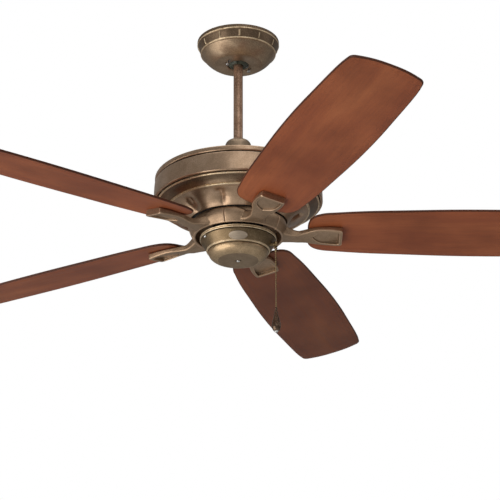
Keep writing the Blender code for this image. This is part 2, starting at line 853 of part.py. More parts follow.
def inner_switches():
    switch = block("pull_switch", (0.0220, 0.0180, 0.0200), "black_plastic")
    place(switch, polar(0.0440, CHAIN_AZIMUTH, -0.4560), (0, 0, CHAIN_AZIMUTH))
    capacitor = block("capacitor", (0.0260, 0.0400, 0.0230), "black_plastic")
    place(capacitor, polar(0.0300, math.radians(165), -0.4590), (0, 0, math.radians(165)))
    reverse = block("reverse_switch", (0.0240, 0.0120, 0.0110), "black_plastic")
    place(reverse, (0, 0.0500, REVERSE_Z))
    stem_start, stem_end = 0.0563, 0.0735
    lever = block("reverse_lever", (0.0044, stem_end - stem_start, 0.0036), "black_plastic")
    place(lever, (-REVERSE_TRAVEL / 2, (stem_start + stem_end) / 2, REVERSE_Z))


# Pull chain


def chain():
    here = polar(CHAIN_RADIUS, CHAIN_AZIMUTH, 0)
    neck = rod("chain_bushing", 0.0034, 0.0790, 0.0555, "brass_chain", COARSE)
    place(neck, (0, 0, CHAIN_EXIT_Z), (0, math.pi / 2, CHAIN_AZIMUTH))
    nozzle = place(rod("bushing_nozzle", 0.0040, -0.4515, -0.4615, steps=COARSE), here)
    throat = place(rod("bushing_throat", 0.0028, -0.4530, -0.4700), here)
    join(neck, nozzle)
    cut(neck, throat)

    eye = [
        (0, -0.4550),
        (0.0022, -0.4550),
        (0.0022, -0.4630),
        (0.0034, -0.4642),
        (0.0034, CHAIN_PIVOT),
        (0, CHAIN_PIVOT),
    ]
    place(solid_of_axis("pull_eye", eye, "brass_chain"), here)
    link = [
        (0, -0.4676),
        (0.0005, -0.4676),
        (0.0024, -0.4688),
        (0.0026, -0.4700),
        (0.0024, -0.4710),
        (0.0005, -0.4735),
        (0, -0.4735),
    ]
    place(solid_of_axis("chain_coupling", link, "brass_chain"), here)

    curve = bpy.data.curves.new("pull_chain", "CURVE")
    curve.dimensions = "3D"
    curve.bevel_depth = CHAIN_THICKNESS / 2
    curve.bevel_resolution = 2
    curve.use_fill_caps = True
    count = 12
    spline = curve.splines.new("POLY")
    spline.points.add(count - 1)
    for i, point in enumerate(spline.points):
        point.co = (0, 0, CHAIN_TOP + (CHAIN_BOTTOM - CHAIN_TOP) * i / (count - 1), 1)
    curve.materials.append(surface("brass_chain", "pull_chain"))
    line = bpy.data.objects.new("pull_chain", curve)
    PARTS.objects.link(line)
    place(line, here)

    fob = [
        (0, CHAIN_BOTTOM - GAP),
        (0.0018, CHAIN_BOTTOM - GAP),
        (0.0024, -0.5905),
        (0.0028, -0.5960),
        (0.0048, -0.6070),
        (0.0076, -0.6180),
        (0.0089, -0.6250),
        (0.0088, -0.6300),
        (0.0070, -0.6350),
        (0.0040, -0.6380),
        (0.0030, FOB_BOTTOM),
        (0, FOB_BOTTOM),
    ]
    place(solid_of_axis("chain_fob", fob, "bronze", COARSE), here)


hanger_bracket()
canopy()
canopy_screws()
hanger_ball()
downrod()
lead_wires()
coupling()
motor_shaft()
stator()
rotor()
housing()
blades()
switch_housing()
badge()
inner_switches()
chain()
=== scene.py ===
"""Looks of the five-blade ceiling fan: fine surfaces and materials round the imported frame.

Lengths are metres in the frame's own axes: +Z up, origin on the ceiling at the bracket's centre.
"""

import json
import math

import bmesh
import bpy
from mathutils import Matrix, Vector

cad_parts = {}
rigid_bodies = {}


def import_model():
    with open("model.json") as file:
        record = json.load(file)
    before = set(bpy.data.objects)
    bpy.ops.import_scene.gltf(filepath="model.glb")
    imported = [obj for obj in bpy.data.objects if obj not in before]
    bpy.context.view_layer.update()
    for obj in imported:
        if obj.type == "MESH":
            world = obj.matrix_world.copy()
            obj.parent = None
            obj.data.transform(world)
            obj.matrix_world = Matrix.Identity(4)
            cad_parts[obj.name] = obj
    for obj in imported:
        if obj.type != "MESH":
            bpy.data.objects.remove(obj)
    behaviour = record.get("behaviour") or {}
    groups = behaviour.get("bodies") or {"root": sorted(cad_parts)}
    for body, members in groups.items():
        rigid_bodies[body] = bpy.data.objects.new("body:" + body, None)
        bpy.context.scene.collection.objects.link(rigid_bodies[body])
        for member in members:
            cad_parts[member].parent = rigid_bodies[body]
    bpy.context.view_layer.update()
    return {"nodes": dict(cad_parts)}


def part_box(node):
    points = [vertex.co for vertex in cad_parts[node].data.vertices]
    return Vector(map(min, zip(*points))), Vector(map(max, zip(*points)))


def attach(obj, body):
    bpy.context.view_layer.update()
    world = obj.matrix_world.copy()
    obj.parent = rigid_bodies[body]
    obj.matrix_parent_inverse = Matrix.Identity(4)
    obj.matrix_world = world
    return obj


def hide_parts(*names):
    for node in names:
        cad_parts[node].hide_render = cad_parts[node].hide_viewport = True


for startup in list(bpy.data.objects):
    bpy.data.objects.remove(startup, do_unlink=True)

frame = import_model()

# Blades and arms
BLADE_COUNT = 5
BLADE_STEP = math.tau / BLADE_COUNT
FIRST_BLADE = math.radians(1.33)
BLADE_PITCH = math.radians(12)
BLADE_Z = -0.4208
BLADE_HALF_THICK = 0.0028
BLADE_ROOT = 0.138
BLADE_TIP = 0.767
BLADE_HALF_WIDTH = 0.0803
EDGE_LEVEL = 2  # faces of the board from this level up show its dark edge
SHADED_BLADE = 2  # the blade whose veneer is darkened: painted shade
SCREW_SPOTS = ((0.1560, 0.0), (0.1900, 0.0150), (0.1900, -0.0150))

# Ceiling side and rod
CANOPY_DROP = 0.053
CANOPY_HOLE = 0.022
CANOPY_SCREW_AZIMUTH = math.radians(37)
CANOPY_SCREW_CIRCLE = 0.0270
STRAPS = 12
FIRST_STRAP = math.radians(-88)
STRAP_HALF = 0.0020
BALL_Z = -0.036
BALL_RADIUS = 0.025
ROD_RADIUS = 0.0095
ROD_BORE = 0.0075

# Switch housing
HOUSING_SCREW_AZIMUTH = math.radians(-151)
HOUSING_SCREW_Z = -0.4450
REVERSE_Z = -0.4510
CHAIN_EXIT_Z = -0.4555

# Chain
CHAIN_AZIMUTH = math.radians(-15)
CHAIN_RADIUS = 0.0765
CHAIN_THICKNESS = 0.0032
CHAIN_TOP = -0.4738
CHAIN_BOTTOM = -0.5882
BEADS = 27

# Studio
LENS = 148.19
CAMERA_TILT = math.radians(21.889)
CAMERA_PLACE = (0, -3.778, -1.9782)
CAMERA_SHIFT = 0.0236
FLOOR_Z = -4.2

# Steps round a turned piece
FINE = 180
SMALL = 48


# Shapes


def arc(centre, radius, start, end, count=8):
    """Points on an arc in the section plane, with its angles in degrees from straight out."""
    points = []
    for i in range(count + 1):
        angle = math.radians(start + (end - start) * i / count)
        points.append((centre[0] + radius * math.cos(angle), centre[1] + radius * math.sin(angle)))
    return points


def smooth_line(points, steps=6):
    """A Catmull-Rom line through points of any dimension."""
    ends = [points[0], *points, points[-1]]
    line = []
    for a, b, c, d in zip(ends, ends[1:], ends[2:], ends[3:]):
        for i in range(steps):
            t = i / steps
            line.append(tuple(
                0.5 * (
                    2 * q + (r - p) * t
                    + (2 * p - 5 * q + 4 * r - s) * t**2
                    + (3 * q - p - 3 * r + s) * t**3
                )
                for p, q, r, s in zip(a, b, c, d)
            ))
    line.append(tuple(points[-1]))
    return line


def mirrored(half):
    """The half outline and its mirror image across X, back to where it starts."""
    return half + [(x, -y) for x, y in reversed(half[:-1])]


def eased(share):
    """A share from 0 to 1 that starts and ends gently."""
    return share * share * (3 - 2 * share)


def polar(radius, azimuth, z=0.0):
    return (radius * math.cos(azimuth), radius * math.sin(azimuth), z)


def crease(mesh, sharp=30):
    """Shade smooth, except at edges sharper than the angle in degrees."""
    mesh.shade_smooth()
    mesh.set_sharp_from_angle(angle=math.radians(sharp))


def object_of(name, data):
    obj = bpy.data.objects.new(name, data)
    bpy.context.scene.collection.objects.link(obj)
    return obj


def finished(name, bm, materials, sharp=30):
    """An object from a bmesh, smooth except at its sharp edges."""
    bm.normal_update()
    mesh = bpy.data.meshes.new(name)
    bm.to_mesh(mesh)
    bm.free()
    for material in materials:
        mesh.materials.append(material)
    crease(mesh, sharp)
    return object_of(name, mesh)


def turned(name, runs, materials, steps=FINE, shape=None, sharp=30):
    """Turn a section about Z. It is runs of (radius, z) points, down the outside and up the inside.

    Each run has the number of its material. A section that starts on the axis ends on it too.
    """
    section = [(point, index) for points, index in runs for point in points]
    bm = bmesh.new()
    rings = []
    for (radius, z), _ in section:
        if radius == 0:
            rings.append([bm.verts.new((0, 0, z))] * steps)
            continue
        ring = []
        for i in range(steps):
            azimuth = math.tau * i / steps
            r, height = shape(radius, z, azimuth) if shape else (radius, z)
            ring.append(bm.verts.new(polar(r, azimuth, height)))
        rings.append(ring)
    pairs = list(zip(range(len(section) - 1), range(1, len(section))))
    if section[0][0][0] > 0:
        pairs.append((len(section) - 1, 0))
    for upper, lower in pairs:
        for i in range(steps):
            j = (i + 1) % steps
            corners = dict.fromkeys((rings[upper][i], rings[lower][i], rings[lower][j], rings[upper][j]))
            face = bm.faces.new(list(corners))
            face.material_index = section[lower][1]
    return finished(name, bm, materials, sharp)


def skin(bm, loops, ends=True):
    """Faces between neighbouring loops of vertices, and across both ends."""
    count = len(loops[0])
    for near, far in zip(loops, loops[1:]):
        for i in range(count):
            j = (i + 1) % count
            bm.faces.new((near[i], near[j], far[j], far[i]))
    if ends:
        bm.faces.new(loops[0])
        bm.faces.new(loops[-1])
        bmesh.ops.recalc_face_normals(bm, faces=bm.faces)


def final_mesh(obj):
    """The object's mesh with its modifiers applied; the object itself is removed."""
    bpy.context.view_layer.update()
    graph = bpy.context.evaluated_depsgraph_get()
    mesh = bpy.data.meshes.new_from_object(obj.evaluated_get(graph), depsgraph=graph)
    bpy.data.objects.remove(obj, do_unlink=True)
    return mesh


def cutter_of(bm, location, rotation):
    obj = finished("cutter", bm, [])
    obj.location = location
    obj.rotation_euler = rotation
    return obj


def box_cutter(size, location=(0, 0, 0), rotation=(0, 0, 0)):
    bm = bmesh.new()
    bmesh.ops.create_cube(bm, size=1, matrix=Matrix.Diagonal((*size, 1)))
    return cutter_of(bm, location, rotation)


def round_cutter(radius, length, location=(0, 0, 0), rotation=(0, 0, 0)):
    bm = bmesh.new()
    bmesh.ops.create_cone(
        bm, cap_ends=True, segments=SMALL, radius1=radius, radius2=radius, depth=length
    )
    return cutter_of(bm, location, rotation)


def combine(obj, other, operation):
    modifier = obj.modifiers.new(operation, "BOOLEAN")
    modifier.operation = operation
    modifier.object = other
    modifier.solver = "EXACT"


def carve(obj, *cutters, sharp=30):
    """Cut the cutters out of the object for good; it stays where it was placed."""
    bpy.context.view_layer.update()
    name, place = obj.name, obj.matrix_world.copy()
    for cutter in cutters:
        combine(obj, cutter, "DIFFERENCE")
    mesh = final_mesh(obj)
    for cutter in cutters:
        bpy.data.objects.remove(cutter, do_unlink=True)
    crease(mesh, sharp)
    result = object_of(name, mesh)
    result.name = name
    result.matrix_world = place
    return result


def outline_mesh(name, outline, half_thick, edge):
    """A flat outline thickened both ways, with edges rounded to the given radius."""
    curve = bpy.data.curves.new(name, "CURVE")
    curve.dimensions = "2D"
    curve.fill_mode = "BOTH"
    curve.extrude = half_thick - edge
    curve.bevel_depth = edge
    curve.bevel_resolution = 3
    curve.offset = -edge
    spline = curve.splines.new("POLY")
    spline.points.add(len(outline) - 1)
    for point, (x, y) in zip(spline.points, outline):
        point.co = (x, y, 0, 1)
    spline.use_cyclic_u = True
    mesh = final_mesh(object_of(name, curve))
    bm = bmesh.new()
    bm.from_mesh(mesh)
    bmesh.ops.remove_doubles(bm, verts=bm.verts, dist=0.00001)
    bm.to_mesh(mesh)
    bm.free()
    crease(mesh)
    return mesh


def piece(obj, body, slot, *nodes):
    """Ride on the body and stand for the CAD nodes; the slot is not used."""
    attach(obj, body)
    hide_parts(*nodes)
    return obj


# Materials


class Surface:
    """A Principled material with short helpers for its texture nodes."""

    def __init__(self, name, **constants):
        self.material = bpy.data.materials.new(name)
        self.material.use_nodes = True
        self.tree = self.material.node_tree
        self.shader = self.tree.nodes["Principled BSDF"]
        for socket, value in constants.items():
            self.shader.inputs[socket.replace("_", " ")].default_value = value
        self.place = self.node("TexCoord").outputs["Object"]

    def node(self, kind):
        return self.tree.nodes.new("ShaderNode" + kind)

    def link(self, source, target):
        self.tree.links.new(source, target)

    def stretched(self, scale, turn=(0, 0, 0)):
        """The object's own coordinates, scaled along each axis."""
        node = self.node("Mapping")
        node.inputs["Scale"].default_value = scale
        node.inputs["Rotation"].default_value = turn
        self.link(self.place, node.inputs["Vector"])
        return node.outputs["Vector"]

    def noise(self, scale, detail=4.0, rough=0.55, place=None, warp=0.0):
        node = self.node("TexNoise")
        node.inputs["Scale"].default_value = scale
        node.inputs["Detail"].default_value = detail
        node.inputs["Roughness"].default_value = rough
        node.inputs["Distortion"].default_value = warp
        self.link(place or self.place, node.inputs["Vector"])
        return node.outputs["Fac"]

    def ramp(self, factor, *stops):
        """Colour by factor, from stops of (position, colour)."""
        node = self.node("ValToRGB")
        elements = node.color_ramp.elements
        while len(elements) < len(stops):
            elements.new(0.5)
        for element, (position, colour) in zip(elements, stops):
            element.position = position
            element.color = (*colour, 1)
        self.link(factor, node.inputs["Fac"])
        return node.outputs["Color"]

    def spread(self, factor, low, high, out_low=0.0, out_high=1.0):
        """The factor's stretch from low to high mapped to another stretch, and clamped."""
        node = self.node("MapRange")
        for socket, value in (
            ("From Min", low), ("From Max", high), ("To Min", out_low), ("To Max", out_high)
        ):
            node.inputs[socket].default_value = value
        self.link(factor, node.inputs["Value"])
        return node.outputs["Result"]

    def mix(self, factor, first, second, mode="MIX"):
        node = self.node("Mix")
        node.data_type = "RGBA"
        node.blend_type = mode
        for index, value in ((0, factor), (6, first), (7, second)):
            socket = node.inputs[index]
            if isinstance(value, bpy.types.NodeSocket):
                self.link(value, socket)
            elif isinstance(value, tuple):
                socket.default_value = (*value, 1)
            else:
                socket.default_value = value
        return node.outputs[2]

    def colour(self, source):
        self.link(source, self.shader.inputs["Base Color"])

    def roughness(self, factor, low, high):
        self.link(self.spread(factor, 0.3, 0.7, low, high), self.shader.inputs["Roughness"])

    def bump(self, height, depth, strength=1.0):
        node = self.node("Bump")
        node.inputs["Distance"].default_value = depth
        node.inputs["Strength"].default_value = strength
        self.link(height, node.inputs["Height"])
        self.link(node.outputs["Normal"], self.shader.inputs["Normal"])


def shaded(colour, share):
    return tuple(c * share for c in colour)


def aged_bronze(name, dark, middle, light, rough=(0.32, 0.44), speckle=0.45, edge_wear_and_painted_light=0.0):
    """Hand-rubbed bronze: soft clouds with a fine sparkle of paler metal. Its edge option darkens concave
    hollows as painted shade and pales convex edges as rubbed wear with a painted highlight.
    """
    surface = Surface(name, Metallic=0.82)
    clouds = surface.noise(26, 5, 0.6, warp=0.3)
    grains = surface.noise(560, 3, 0.75)
    body = surface.ramp(clouds, (0.28, dark), (0.5, middle), (0.72, light))
    pale, deep = shaded(light, 1.6), shaded(dark, 0.45)
    body = surface.mix(surface.spread(grains, 0.50, 0.32, 0.0, speckle), body, deep)
    body = surface.mix(surface.spread(grains, 0.50, 0.68, 0.0, speckle), body, pale)
    if edge_wear_and_painted_light:
        edges = surface.node("NewGeometry").outputs["Pointiness"]
        # Dark in concave hollows: painted shade.
        body = surface.mix(surface.spread(edges, 0.495, 0.46, 0.0, 0.85), body, deep)
        # Pale on convex edges: rubbed wear with a painted highlight.
        body = surface.mix(surface.spread(edges, 0.505, 0.53, 0.0, edge_wear_and_painted_light), body, pale)
    surface.colour(body)
    surface.roughness(clouds, rough[1], rough[0])
    surface.bump(grains, 0.00008, 0.4)
    return surface.material


def gold_wear_and_highlight():
    """The beads and lips where the bronze is rubbed through to a brassy gold; on the canopy's straps the
    same gold is a painted highlight.
    """
    surface = Surface("gold_wear_and_highlight", Metallic=0.7)
    wear = surface.noise(140, 4, 0.6)
    surface.colour(surface.ramp(
        wear, (0.28, (0.44, 0.32, 0.19)), (0.52, (0.74, 0.57, 0.37)), (0.75, (0.88, 0.72, 0.50))
    ))
    surface.roughness(wear, 0.42, 0.24)
    return surface.material


def cherry(name, tone):
    """Stained cherry veneer with its grain along the blade; tone scales the wood's colour darker, and on
    one blade that darkening is painted shade.
    """
    surface = Surface(name, Coat_Weight=0.06, Coat_Roughness=0.32, Specular_IOR_Level=0.22)
    fibres = surface.noise(1.0, 6, 0.7, surface.stretched((9, 230, 230)), warp=0.3)
    figure = surface.noise(1.0, 3, 0.5, surface.stretched((2.4, 13, 13)), warp=0.8)
    clouds = surface.noise(6.5, 3, 0.5)
    pores = surface.noise(1.0, 2, 0.5, surface.stretched((45, 1500, 1500)))
    red, brown, amber = (
        shaded(stain, tone)
        for stain in ((0.230, 0.060, 0.023), (0.275, 0.078, 0.029), (0.320, 0.099, 0.037))
    )
    wood = surface.ramp(figure, (0.30, red), (0.52, brown), (0.74, amber))
    streaks = surface.ramp(fibres, (0.34, (0.88, 0.84, 0.81)), (0.66, (1.08, 1.10, 1.11)))
    wood = surface.mix(1.0, wood, streaks, "MULTIPLY")
    stain = surface.ramp(clouds, (0.35, (0.80, 0.76, 0.74)), (0.65, (1.12, 1.12, 1.12)))
    wood = surface.mix(1.0, wood, stain, "MULTIPLY")
    wood = surface.mix(surface.spread(pores, 0.60, 0.72, 0.0, 0.45), wood, (0.07, 0.02, 0.01))
    surface.colour(wood)
    surface.roughness(fibres, 0.36, 0.50)
    surface.bump(fibres, 0.00010, 0.4)
    return surface.material


def plain_metal(name, colour, roughness, brushed=(90, 90, 700), metallic=1.0):
    """Machined or plated metal with a fine lay."""
    surface = Surface(name, Metallic=metallic)
    lay = surface.noise(1.0, 3, 0.6, surface.stretched(brushed))
    surface.colour(surface.ramp(lay, (0.3, shaded(colour, 0.8)), (0.7, colour)))
    surface.roughness(lay, roughness - 0.06, roughness + 0.08)
    surface.bump(lay, 0.00005, 0.3)
    return surface.material


def moulded(name, colour, roughness, grain=900):
    """Moulded plastic or rubber with a fine grain."""
    surface = Surface(name)
    grains = surface.noise(grain, 3, 0.6)
    clouds = surface.noise(35, 3, 0.5)
    surface.colour(surface.ramp(clouds, (0.3, shaded(colour, 0.8)), (0.7, colour)))
    surface.roughness(clouds, roughness - 0.05, roughness + 0.08)
    surface.bump(grains, 0.00008, 0.4)
    return surface.material


def stacked_steel():
    """Thin steel laminations, seen as fine level lines."""
    surface = Surface("stacked_steel", Metallic=0.85, Roughness=0.5)
    sheets = surface.noise(1.0, 1, 0.5, surface.stretched((1, 1, 2200)))
    surface.colour(surface.ramp(sheets, (0.35, (0.12, 0.12, 0.13)), (0.65, (0.34, 0.34, 0.36))))
    surface.bump(sheets, 0.0001, 0.5)
    return surface.material


def wound_copper():
    """Enamelled wire laid round the winding."""
    surface = Surface("wound_copper", Metallic=0.9)
    wires = surface.noise(1.0, 1, 0.5, surface.stretched((200, 200, 1400)))
    surface.colour(surface.ramp(wires, (0.35, (0.30, 0.10, 0.04)), (0.65, (0.70, 0.30, 0.14))))
    surface.roughness(wires, 0.28, 0.42)
    surface.bump(wires, 0.0002, 0.6)
    return surface.material


BRONZE = aged_bronze(
    "aged_bronze", (0.31, 0.206, 0.130), (0.43, 0.292, 0.190), (0.54, 0.380, 0.260), (0.27, 0.38), 0.28
)
BELL_BRONZE = aged_bronze(
    "bell_bronze", (0.21, 0.150, 0.098), (0.28, 0.202, 0.134), (0.34, 0.250, 0.170), (0.42, 0.54), 0.25
)
# Darker bronze for the cove between the bowl's beads: painted shade.
COVE_SHADE_BRONZE = aged_bronze(
    "cove_shade_bronze", (0.12, 0.080, 0.049), (0.18, 0.121, 0.075), (0.24, 0.167, 0.105)
)
CANOPY_BRONZE = aged_bronze(
    "canopy_bronze", (0.26, 0.184, 0.116), (0.34, 0.245, 0.160), (0.42, 0.311, 0.211)
)
# Darker bronze for the canopy's rim and band than for its bowl: painted shade.
BAND_SHADE_BRONZE = aged_bronze(
    "band_shade_bronze", (0.13, 0.088, 0.054), (0.18, 0.122, 0.076), (0.24, 0.165, 0.106)
)
# The arm bronze's last figure turns on its dark hollows (painted shade) and pale edges (wear with a
# painted highlight).
ARM_BRONZE = aged_bronze(
    "arm_bronze", (0.25, 0.168, 0.105), (0.34, 0.230, 0.146), (0.42, 0.290, 0.192),
    (0.36, 0.48), 0.35, 0.8,
)
SWITCH_BRONZE = aged_bronze(
    "switch_bronze", (0.11, 0.074, 0.037), (0.165, 0.113, 0.060), (0.25, 0.175, 0.100)
)
# Brighter bronze for the lower cap's bulge than for the housing above: painted highlight.
CAP_LIT_BRONZE = aged_bronze(
    "cap_lit_bronze", (0.29, 0.198, 0.110), (0.43, 0.302, 0.176), (0.58, 0.424, 0.262)
)
ROD_BRONZE = aged_bronze(
    "rod_bronze", (0.26, 0.146, 0.092), (0.38, 0.234, 0.154), (0.50, 0.336, 0.240), (0.36, 0.48), 0.7
)
FOB_BRONZE = aged_bronze(
    "fob_bronze", (0.07, 0.045, 0.030), (0.13, 0.084, 0.056), (0.22, 0.152, 0.106), (0.20, 0.32), 0.2
)
# Near-black bronze for grooves and narrow gaps: painted shade.
PAINTED_SHADE = aged_bronze(
    "groove_shade", (0.020, 0.014, 0.009), (0.040, 0.028, 0.018), (0.07, 0.05, 0.03), (0.5, 0.6), 0.1
)
DISC = aged_bronze(
    "cap_disc", (0.20, 0.138, 0.084), (0.27, 0.190, 0.118), (0.34, 0.246, 0.158), (0.42, 0.52), 0.25
)
GOLD = gold_wear_and_highlight()
CHERRY = cherry("cherry_veneer", 1.0)
# A darker copy of the veneer for one blade: painted shade.
SHADED_CHERRY = cherry("cherry_veneer_shaded", 0.60)
EDGE_CHERRY = cherry("cherry_edge", 0.30)
STEEL = plain_metal("turned_steel", (0.55, 0.55, 0.55), 0.30)
BRIGHT = plain_metal("bright_plating", (0.86, 0.85, 0.82), 0.18)
ZINC = plain_metal("zinc_plate", (0.52, 0.53, 0.54), 0.42, (60, 60, 60))
CHAIN_BRASS = plain_metal("chain_brass", (0.34, 0.25, 0.135), 0.38, (500, 500, 500))
BADGE_METAL = plain_metal("badge_metal", (0.46, 0.37, 0.28), 0.42, (60, 900, 900), 0.7)
CAST = plain_metal("cast_aluminium", (0.50, 0.50, 0.50), 0.50, (260, 260, 260))
BALL = moulded("ball_polymer", (0.060, 0.072, 0.050), 0.42)
RUBBER = moulded("moulded_rubber", (0.030, 0.030, 0.030), 0.75)
PLASTIC = moulded("black_plastic", (0.030, 0.030, 0.032), 0.45)
JACKET = moulded("wire_jacket", (0.62, 0.62, 0.58), 0.45)
LAMINATIONS = stacked_steel()
COPPER = wound_copper()


# Camera


def add_camera():
    data = bpy.data.cameras.new("camera")
    data.sensor_width = 36
    data.lens = LENS
    data.shift_x = CAMERA_SHIFT
    camera = object_of("camera", data)
    camera.location = CAMERA_PLACE
    camera.rotation_euler = (math.pi / 2 + CAMERA_TILT, 0, 0)
    bpy.context.scene.camera = camera


# Pull chain


def pull_chain():
    """Twenty-seven hollow beads on short links, with the fob on the last one."""
    here = polar(CHAIN_RADIUS, CHAIN_AZIMUTH)
    length = CHAIN_TOP - CHAIN_BOTTOM
    pitch = length / BEADS
    wire, bead = 0.00050, CHAIN_THICKNESS / 2
    half = 72
    section = [(0, CHAIN_TOP)]
    for i in range(BEADS):
        middle = CHAIN_TOP - pitch * (i + 0.5)
        if i:
            section.append((wire, middle + pitch / 2))
        section += arc((0, middle), bead, half, -half, 8)
    section.append((0, CHAIN_BOTTOM))
    chain = turned("bead_chain", [(section, 0)], [CHAIN_BRASS], 16)
    chain.location = here
    piece(chain, "chain", "chain_brass", "pull_chain")

    fob_profile = [(0, CHAIN_BOTTOM - 0.0004), (0.0016, CHAIN_BOTTOM - 0.0004)] + smooth_line([
        (0.0021, -0.5895), (0.0023, -0.5915), (0.0020, -0.5935), (0.0026, -0.5960), (0.0036, -0.6010),
        (0.0048, -0.6070), (0.0064, -0.6130), (0.0080, -0.6190), (0.0089, -0.6250), (0.0086, -0.6300),
        (0.0068, -0.6350), (0.0044, -0.6375),
    ])
    tip = smooth_line(
        [(0.0034, -0.6380), (0.0034, -0.6390), (0.0028, -0.6397), (0.0012, -0.6400)], 4
    ) + [(0, -0.6400)]
    fob = turned("teardrop_fob", [(fob_profile, 0), (tip, 1)], [FOB_BRONZE, BRIGHT], SMALL)
    fob.location = here
    piece(fob, "chain", "fob_bronze", "chain_fob")

    link = [(0, -0.4676), (0.0005, -0.4676)] + smooth_line(
        [(0.0014, -0.4681), (0.0022, -0.4689), (0.0025, -0.4700), (0.0022, -0.4711), (0.0013, -0.4722)], 4
    ) + [(0.0005, -0.4735), (0, -0.4735)]
    coupling = turned("bead_coupling", [(link, 0)], [CHAIN_BRASS], 24)
    coupling.location = here
    piece(coupling, "chain_link", "chain_brass", "chain_coupling")

    eye_profile = [(0, -0.4550), (0.0021, -0.4550), (0.0021, -0.4628), (0.0024, -0.4634)] + arc(
        (0.0022, -0.4656), 0.0012, 75, -75
    ) + [(0.0012, -0.4672), (0, -0.4672)]
    eye = turned("eye_bead", [(eye_profile, 0)], [CHAIN_BRASS], 24)
    eye.location = here
    piece(eye, "pull_eye", "chain_brass", "pull_eye")


def chain_bushing():
    """The brass outlet on the housing's side: a threaded neck, a collar and a downward nozzle."""
    here = polar(CHAIN_RADIUS, CHAIN_AZIMUTH)
    nozzle = [(0.0028, -0.4530), (0.0030, -0.4516), (0.0037, -0.4515)] + smooth_line([
        (0.0040, -0.4522), (0.0040, -0.4560), (0.0036, -0.4575), (0.0036, -0.4595),
        (0.0040, -0.4605), (0.0038, -0.4615),
    ], 4) + [(0.0029, -0.4615)]
    mouth = turned("bushing", [(nozzle, 0)], [CHAIN_BRASS], 32)
    mouth.location = here
    neck_profile = [(0, 0.0746), (0.0034, 0.0746)] + [
        (0.0034 - 0.0003 * (i % 2), 0.0730 - 0.0006 * i) for i in range(26)
    ] + [(0, 0.0575)]
    neck = turned("bushing_neck", [(neck_profile, 0)], [CHAIN_BRASS], 32)
    neck.location = (0, 0, CHAIN_EXIT_Z)
    neck.rotation_euler = (0, math.pi / 2, CHAIN_AZIMUTH)
    combine(mouth, neck, "UNION")
    mesh = final_mesh(mouth)
    bpy.data.objects.remove(neck, do_unlink=True)
    bushing = object_of("bushing", mesh)
    bushing.matrix_world = Matrix.Translation(here)
    piece(bushing, "hanging", "chain_brass", "chain_bushing")


# Canopy, ball and rod


def bead(centre, radius, lean=0.0):
    """A half-round bead that stands out from the surface; lean turns it down, in degrees."""
    return arc(centre, radius, 90 - lean, -90 - lean)


def strap_distance(radius, azimuth):
    """How far a point of the canopy's band is from its nearest strap's middle."""
    step = math.tau / STRAPS
    return abs((azimuth - FIRST_STRAP + step / 2) % step - step / 2) * radius


def canopy_relief(radius, z, azimuth):
    """Fine ribs round the rim, and slim straps down the band below it."""
    ribs, rib_depth, strap_rise, fade = 112, 0.0011, 0.0016, 0.0025
    if radius > 0.0836 and z > -0.0060:
        return radius - rib_depth * (0.5 - 0.5 * math.cos(ribs * azimuth)), z
    top, bottom = -0.0105, -0.0250
    within = 0.0796 + (z + 0.0175) * 0.40
    if bottom < z < top and radius > max(0.0760, within):
        away = strap_distance(radius, azimuth)
        end = min(top - z, z - bottom) / fade
        return radius + strap_rise * min(1.0, end) * max(0.0, 1 - (away / STRAP_HALF) ** 2), z
    return radius, z


def canopy():
    rim = [(0.0826, -0.0004), (0.0836, -0.0004), (0.0840, -0.0010), (0.0840, -0.0052), (0.0834, -0.0062)]
    upper_bead = bead((0.0830, -0.0080), 0.0011, 8)
    band = smooth_line([
        (0.0824, -0.0098), (0.0814, -0.0130), (0.0798, -0.0175), (0.0782, -0.0220), (0.0771, -0.0250),
    ])
    lower_bead = bead((0.0763, -0.0270), 0.0011, 20)
    bowl = smooth_line([
        (0.0748, -0.0286), (0.0738, -0.0296), (0.0718, -0.0330), (0.0687, -0.0372), (0.0645, -0.0418),
        (0.0596, -0.0460), (0.0545, -0.0497), (0.0510, -0.0518), (0.0490, -0.0527), (0.0470, -0.0530),
    ])
    lip = [(CANOPY_HOLE + 0.0010, -0.0530), (CANOPY_HOLE, -0.0526)]
    inside = [
        (CANOPY_HOLE, -0.0516), (0.0485, -0.0515), (0.0595, -0.0443), (0.0677, -0.0357),
        (0.0728, -0.0277), (0.0752, -0.0258), (0.0812, -0.0092), (0.0822, -0.0068), (0.0826, -0.0040),
    ]
    # The rim and band take the darker band bronze: painted shade.
    shell = turned(
        "canopy_shell", [(rim, 2), (upper_bead, 1), (band, 2), (lower_bead, 1), (bowl + lip + inside, 0)],
        [CANOPY_BRONZE, GOLD, BAND_SHADE_BRONZE], 448, canopy_relief,
    )
    # The straps' outer faces take the gold: a painted highlight down each strap.
    for face in shell.data.polygons:
        x, y, z = face.center
        if -0.0238 < z < -0.0115 and math.hypot(x, y) > 0.0760 and face.normal.z < 0:
            if strap_distance(0.08, math.atan2(y, x)) < STRAP_HALF * 0.6:
                face.material_index = 1
    keyhole, entry_radius, entry_shift = (0.0050, 0.0116, 0.0080), 0.0040, 0.0052
    cutters = []
    for turn in (0, 1):
        azimuth = CANOPY_SCREW_AZIMUTH + turn * math.pi
        spot = polar(CANOPY_SCREW_CIRCLE, azimuth, -CANOPY_DROP)
        across = (-math.sin(azimuth), math.cos(azimuth))
        entry = (spot[0] + entry_shift * across[0], spot[1] + entry_shift * across[1], spot[2])
        cutters.append(box_cutter(keyhole, spot, (0, 0, azimuth)))
        cutters.append(round_cutter(entry_radius, keyhole[2], entry))
    shell = carve(shell, *cutters)
    piece(shell, "ceiling", "bronze", "canopy")


